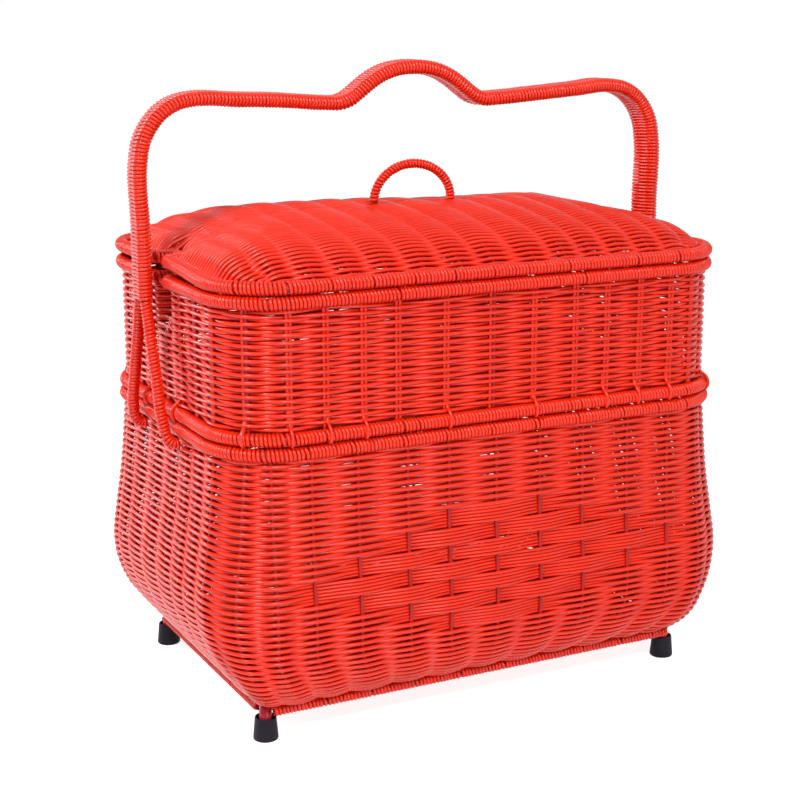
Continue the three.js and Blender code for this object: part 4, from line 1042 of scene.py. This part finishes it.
# Near the seam the weave is calmer at both ends, up to these depths
SEAM_CALM = 0.75
SEAM_CALM_DEPTHS = {"front": 18, "back": 49}
LID_SWAY = 0.14
LID_RIM_SWAY = 0.35
LID_MOST_SPREAD = 1.9


def lid_rise(x, y):
    """How far the lid's left end is raised."""
    notch = ease(-x, 150, 200) * ease(y, -105, -20) * (1 - ease(y, 15, 75))
    back = ease(-x, 120, 180) * ease(y, -10, 40)
    return LID_NOTCH_RISE * notch + LID_BACK_RISE * back * (1 - notch)


def lid_fullness(x, y):
    back_left = ease(-x, -60, 60) * ease(x, -190, -130) * ease(y, -10, 40)
    return 1 + LID_BACK_FULLNESS * back_left - LID_RIGHT_DROP * ease(x, 110, 170)


def from_notch(x, y):
    """Distance from the nearest notch of the rim."""
    along = np.maximum(LID_RIM[0] - NOTCH_DEPTH - np.abs(x), 0)
    return np.hypot(along, np.maximum(np.abs(y) - (NOTCH_FLAT + NOTCH_BLEND / 2), 0))


def outside_lid_ring(x, y, d):
    """How far a point lies outside the lid's ring at an inward distance."""
    rim_x, rim_y, rim_r, _ = LID_RIM
    r = np.maximum(rim_r - d * LID_SHRINK, LID_LEAST_CORNER)
    over_x = np.abs(x) - (rim_x - LID_END_SHARE * d - r)
    over_y = np.abs(y) - (rim_y - d - r)
    outside = np.hypot(np.maximum(over_x, 0), np.maximum(over_y, 0))
    return outside + np.minimum(np.maximum(over_x, over_y), 0) - r


def halved(low, high, steps, holds_at):
    """How far up from low a condition holds, found by halving."""
    for _ in range(steps):
        middle = (low + high) / 2
        holds = holds_at(middle)
        low = np.where(holds, middle, low)
        high = np.where(holds, high, middle)
    return low


def lid_height(x, y):
    inward = halved(LID_PROFILE[0, 0], LID_RIM[1], 26, lambda d: outside_lid_ring(x, y, d) < 0)
    rise = lid_rise(x, y) * np.exp(-inward / LID_RISE_FADE)
    notched_in = LID_NOTCH_START + LID_NOTCH_SLOPE * from_notch(x, y)
    soft = LID_NOTCH_SOFTNESS
    inward = -soft * np.logaddexp(-inward / soft, -notched_in / soft)
    dome = spline(LID_PROFILE[:, 0], LID_PROFILE[:, 1], np.maximum(inward, LID_PROFILE[0, 0]))
    return LID_RIM[3] + rise + dome * lid_fullness(x, y)


def lid_surface(x, y):
    """Points and upward normals of the lid's outer face."""
    step = LID_SLOPE_STEP
    z = lid_height(x, y)
    slope_x = (lid_height(x + step, y) - lid_height(x - step, y)) / (2 * step)
    slope_y = (lid_height(x, y + step) - lid_height(x, y - step)) / (2 * step)
    return as_points(x, y, z), unit(as_points(-slope_x, -slope_y, 1))


def lid_reach_x(y):
    """Half length of the lid's edge at a depth y."""
    edge = halved(0.0, LID_RIM[0], 30, lambda x: outside_lid_ring(x, y, LID_EDGE) < 0)
    return float(min(edge, LID_RIM[0] - LID_NOTCH_EDGE - NOTCH_DEPTH * notch_shape(y)))


def lid_ridges(edge):
    """Number of the first rib that a strand of this half length crosses, and places of all."""
    inner = [(k, v) for k, v in enumerate(LID_RIDGES) if abs(v) < edge + LID_RIDGE_GAP]
    return inner[0][0], [math.copysign(min(abs(v), edge - LID_RIDGE_GAP), v) for _, v in inner]


def lid_rows():
    """Depths of the strands, evenly spaced along the slope from the seam to the edge."""
    y = np.linspace(SEAM_HALF_GAP + STRAND_RADIUS, LID_RIM[1] - LID_EDGE - 0.4, 500)
    return rows_along(y, lid_height(np.zeros_like(y), y))


def lid_levels(crossing, count):
    """Levels of a strand at its start, at the ribs and at its end."""
    levels = [plain_level(crossing, k) for k in range(count)]
    for end in (0, -1):
        levels[end] = LID_END_LEVELS[levels[end] > 0]
    return np.array([LID_EDGE_LEVEL] + levels + [LID_EDGE_LEVEL])


def add_lid_half(half, sy):
    strands = Strands()
    rows = lid_rows()
    for row, depth in enumerate(rows):
        edge = lid_reach_x(depth)
        first, inner = lid_ridges(edge)
        crossing = row + first + (half == "back")
        ends = np.array([-edge] + inner + [edge], float)
        x, level = open_samples(ends, lid_levels(crossing, len(inner)), STEPS_PER_SPAN)
        near_seam = 1 - ease(depth, 4, SEAM_CALM_DEPTHS[half])
        level = level * (1 - SEAM_CALM * near_seam * ease(np.abs(x), 140, 175))
        near_rim = ease(row, len(rows) - 6, len(rows) - 1)
        sway = (LID_SWAY + LID_RIM_SWAY * near_rim) * noise_track(len(x), LID_KNOTS, False)
        point, normal = lid_surface(x, np.full(len(x), sy * depth) + sway)
        sunk = STRAND_WAVE * (1 - level) + STRAND_RADIUS
        # Strands spread where the slope parts them more than at the middle
        middle = lid_surface(np.zeros(1), np.array([sy * depth]))[1][0]
        spread = np.hypot(1, normal[:, 1] / normal[:, 2]) / np.hypot(1, middle[1] / middle[2])
        width = LID_STRAND_WIDTH * np.clip(spread, 1, LID_MOST_SPREAD)
        strands.add(point - normal * sunk[:, None], normal, STRAND_RADIUS, width, tint=rng.uniform(0, 1))
    strands.piece(f"lid_weave_{half}", "lid", "rattan", "lid_shell")


def build_lid():
    add_lid_half("front", -1)
    add_lid_half("back", 1)
    ribs = Strands()
    for x in LID_RIDGES:
        edge = half_chord(LID_RIM[1] - LID_EDGE, LID_RIM[0] - LID_EDGE, LID_RIB_CORNER, x) - 1
        y = np.linspace(-edge, edge, 60)
        point, normal = lid_surface(np.full(len(y), float(x)), y)
        ribs.add(point - normal * STAKE_DEPTH, normal, LID_RIB_RADIUS)
    ribs.piece("lid_stakes", "lid", "frame")


LOOP_HALF_WIDTH = 35
LOOP_HEIGHT = 29.5
LOOP_OUTER_RADIUS = 4
LOOP_FOOT_Z = LID_RIM[3] + LID_PROFILE[-1, 1] + 0.7


def build_loop():
    angle = np.linspace(0, math.pi, 80)
    z = LOOP_FOOT_Z + LOOP_HEIGHT * np.sin(angle)
    path = smooth_path(as_points(-LOOP_HALF_WIDTH * np.cos(angle), 0, z), 400)
    turn = round_turn(LOOP_OUTER_RADIUS - LOOP_WRAP.radius)
    add_winding("loop_winding", "lid", "lid_loop_binding", path, ACROSS, turn, LOOP_WRAP)


# Camera, floor and light

# Lens and sensor width are in millimetres too, and the shift in pixels of the frame
CAMERA_PLACE = (-622.37, -1203.63, 543.62)
CAMERA_TARGET = (0, 0, 222.87)
CAMERA_LENS = 75.03
CAMERA_SENSOR = 36
CAMERA_SHIFT_PIXELS = (-12.6, -2.7)
FRAME_PIXELS = 800
# Lamps: place and size in metres, power in watts and colour
LAMP_WHITE = (1, 1, 1)
LAMPS = {
    "soft_box": ((-0.3, -1.5, 1.5), 0.35, 17, LAMP_WHITE),
    "key_left": ((-1.0, -0.5, 1.35), 0.25, 12, LAMP_WHITE),
    "back_left": ((-1.4, 1.6, 0.7), 0.6, 17, (1.0, 0.9, 0.97)),
    "front_low": ((0.25, -2.3, 0.7), 0.25, 9, LAMP_WHITE),
}
LAMP_TARGET = Vector((0, 0, 0.2))
AMBIENT = 0.18
FLOOR_HALF_SIZE = 40.0
# The floor's own share of its white; the rest is lamplight
FLOOR_GLOW = 0.84


def place_facing(thing, place, target):
    """Puts a camera or lamp at a place and turns it to a target, both in metres."""
    thing.location = place
    thing.rotation_mode = "QUATERNION"
    thing.rotation_quaternion = (target - place).to_track_quat("-Z", "Y")


def build_camera():
    camera = new_object("camera", bpy.data.cameras.new("camera"))
    place_facing(camera, Vector(CAMERA_PLACE) * MM, Vector(CAMERA_TARGET) * MM)
    camera.data.lens = CAMERA_LENS
    camera.data.sensor_width = CAMERA_SENSOR
    camera.data.shift_x = CAMERA_SHIFT_PIXELS[0] / FRAME_PIXELS
    camera.data.shift_y = CAMERA_SHIFT_PIXELS[1] / FRAME_PIXELS
    camera.data.clip_start = 0.05
    camera.data.clip_end = 50
    bpy.context.scene.camera = camera


def background_rays(nodes, links):
    """1 for the rays that show the background: camera, glossy and transmission rays."""
    outputs = nodes.new("ShaderNodeLightPath").outputs
    total = outputs["Is Camera Ray"]
    for name in ("Is Glossy Ray", "Is Transmission Ray"):
        either = nodes.new("ShaderNodeMath")
        either.operation = "MAXIMUM"
        links.new(total, either.inputs[0])
        links.new(outputs[name], either.inputs[1])
        total = either.outputs["Value"]
    return total


def build_stage():
    half = FLOOR_HALF_SIZE
    mesh = bpy.data.meshes.new("floor")
    corners = [(-half, -half, 0), (half, -half, 0), (half, half, 0), (-half, half, 0)]
    mesh.from_pydata(corners, [], [(0, 1, 2, 3)])
    floor = new_object("floor", mesh)
    white = Surface("floor_white", specular=0.2)
    white.inputs["Base Color"].default_value = (0.9, 0.9, 0.9, 1)
    white.inputs["Roughness"].default_value = 0.8
    nodes = white.nodes
    links = white.links
    glow = nodes.new("ShaderNodeEmission")
    share = nodes.new("ShaderNodeMath")
    share.operation = "MULTIPLY"
    share.inputs[1].default_value = FLOOR_GLOW
    add = nodes.new("ShaderNodeAddShader")
    links.new(background_rays(nodes, links), share.inputs[0])
    links.new(share.outputs["Value"], glow.inputs["Strength"])
    links.new(nodes["Principled BSDF"].outputs["BSDF"], add.inputs[0])
    links.new(glow.outputs["Emission"], add.inputs[1])
    links.new(add.outputs["Shader"], nodes["Material Output"].inputs["Surface"])
    mesh.materials.append(white.material)


def build_light():
    world = bpy.data.worlds.new("studio")
    bpy.context.scene.world = world
    world.use_nodes = True
    nodes = world.node_tree.nodes
    links = world.node_tree.links
    ambient = nodes["Background"]
    white = nodes.new("ShaderNodeBackground")
    for background, strength in ((ambient, AMBIENT), (white, 1.0)):
        background.inputs["Color"].default_value = (1, 1, 1, 1)
        background.inputs["Strength"].default_value = strength
    mix = nodes.new("ShaderNodeMixShader")
    links.new(background_rays(nodes, links), mix.inputs["Fac"])
    links.new(ambient.outputs["Background"], mix.inputs[1])
    links.new(white.outputs["Background"], mix.inputs[2])
    links.new(mix.outputs["Shader"], nodes["World Output"].inputs["Surface"])
    for name, (place, size, power, colour) in LAMPS.items():
        data = bpy.data.lights.new(name, "AREA")
        data.shape = "SQUARE"
        data.size = size
        data.energy = power
        data.color = colour
        place_facing(new_object(name, data), Vector(place), LAMP_TARGET)


def node_finish(name):
    """Material of a CAD node, by the kind of part that its name gives."""
    if name.startswith("foot"):
        return RUBBER
    if name.startswith(("leg_front", "leg_back")):
        return LEG_PAINT
    steel = any(part in name for part in ("_rod", "post", "rib", "bar")) and "binding" not in name
    return STEEL_PAINT if steel else RATTAN


bpy.context.scene.view_settings.view_transform = "Standard"
build_camera()
build_stage()
build_light()
build_lower_wall()
build_tray_wall()
build_rims()
build_handle()
build_base_bars()
build_feet()
build_posts()
build_floors()
build_lid()
build_loop()

for name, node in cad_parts.items():
    node.data.materials.clear()
    node.data.materials.append(node_finish(name))
    node.data.shade_smooth()
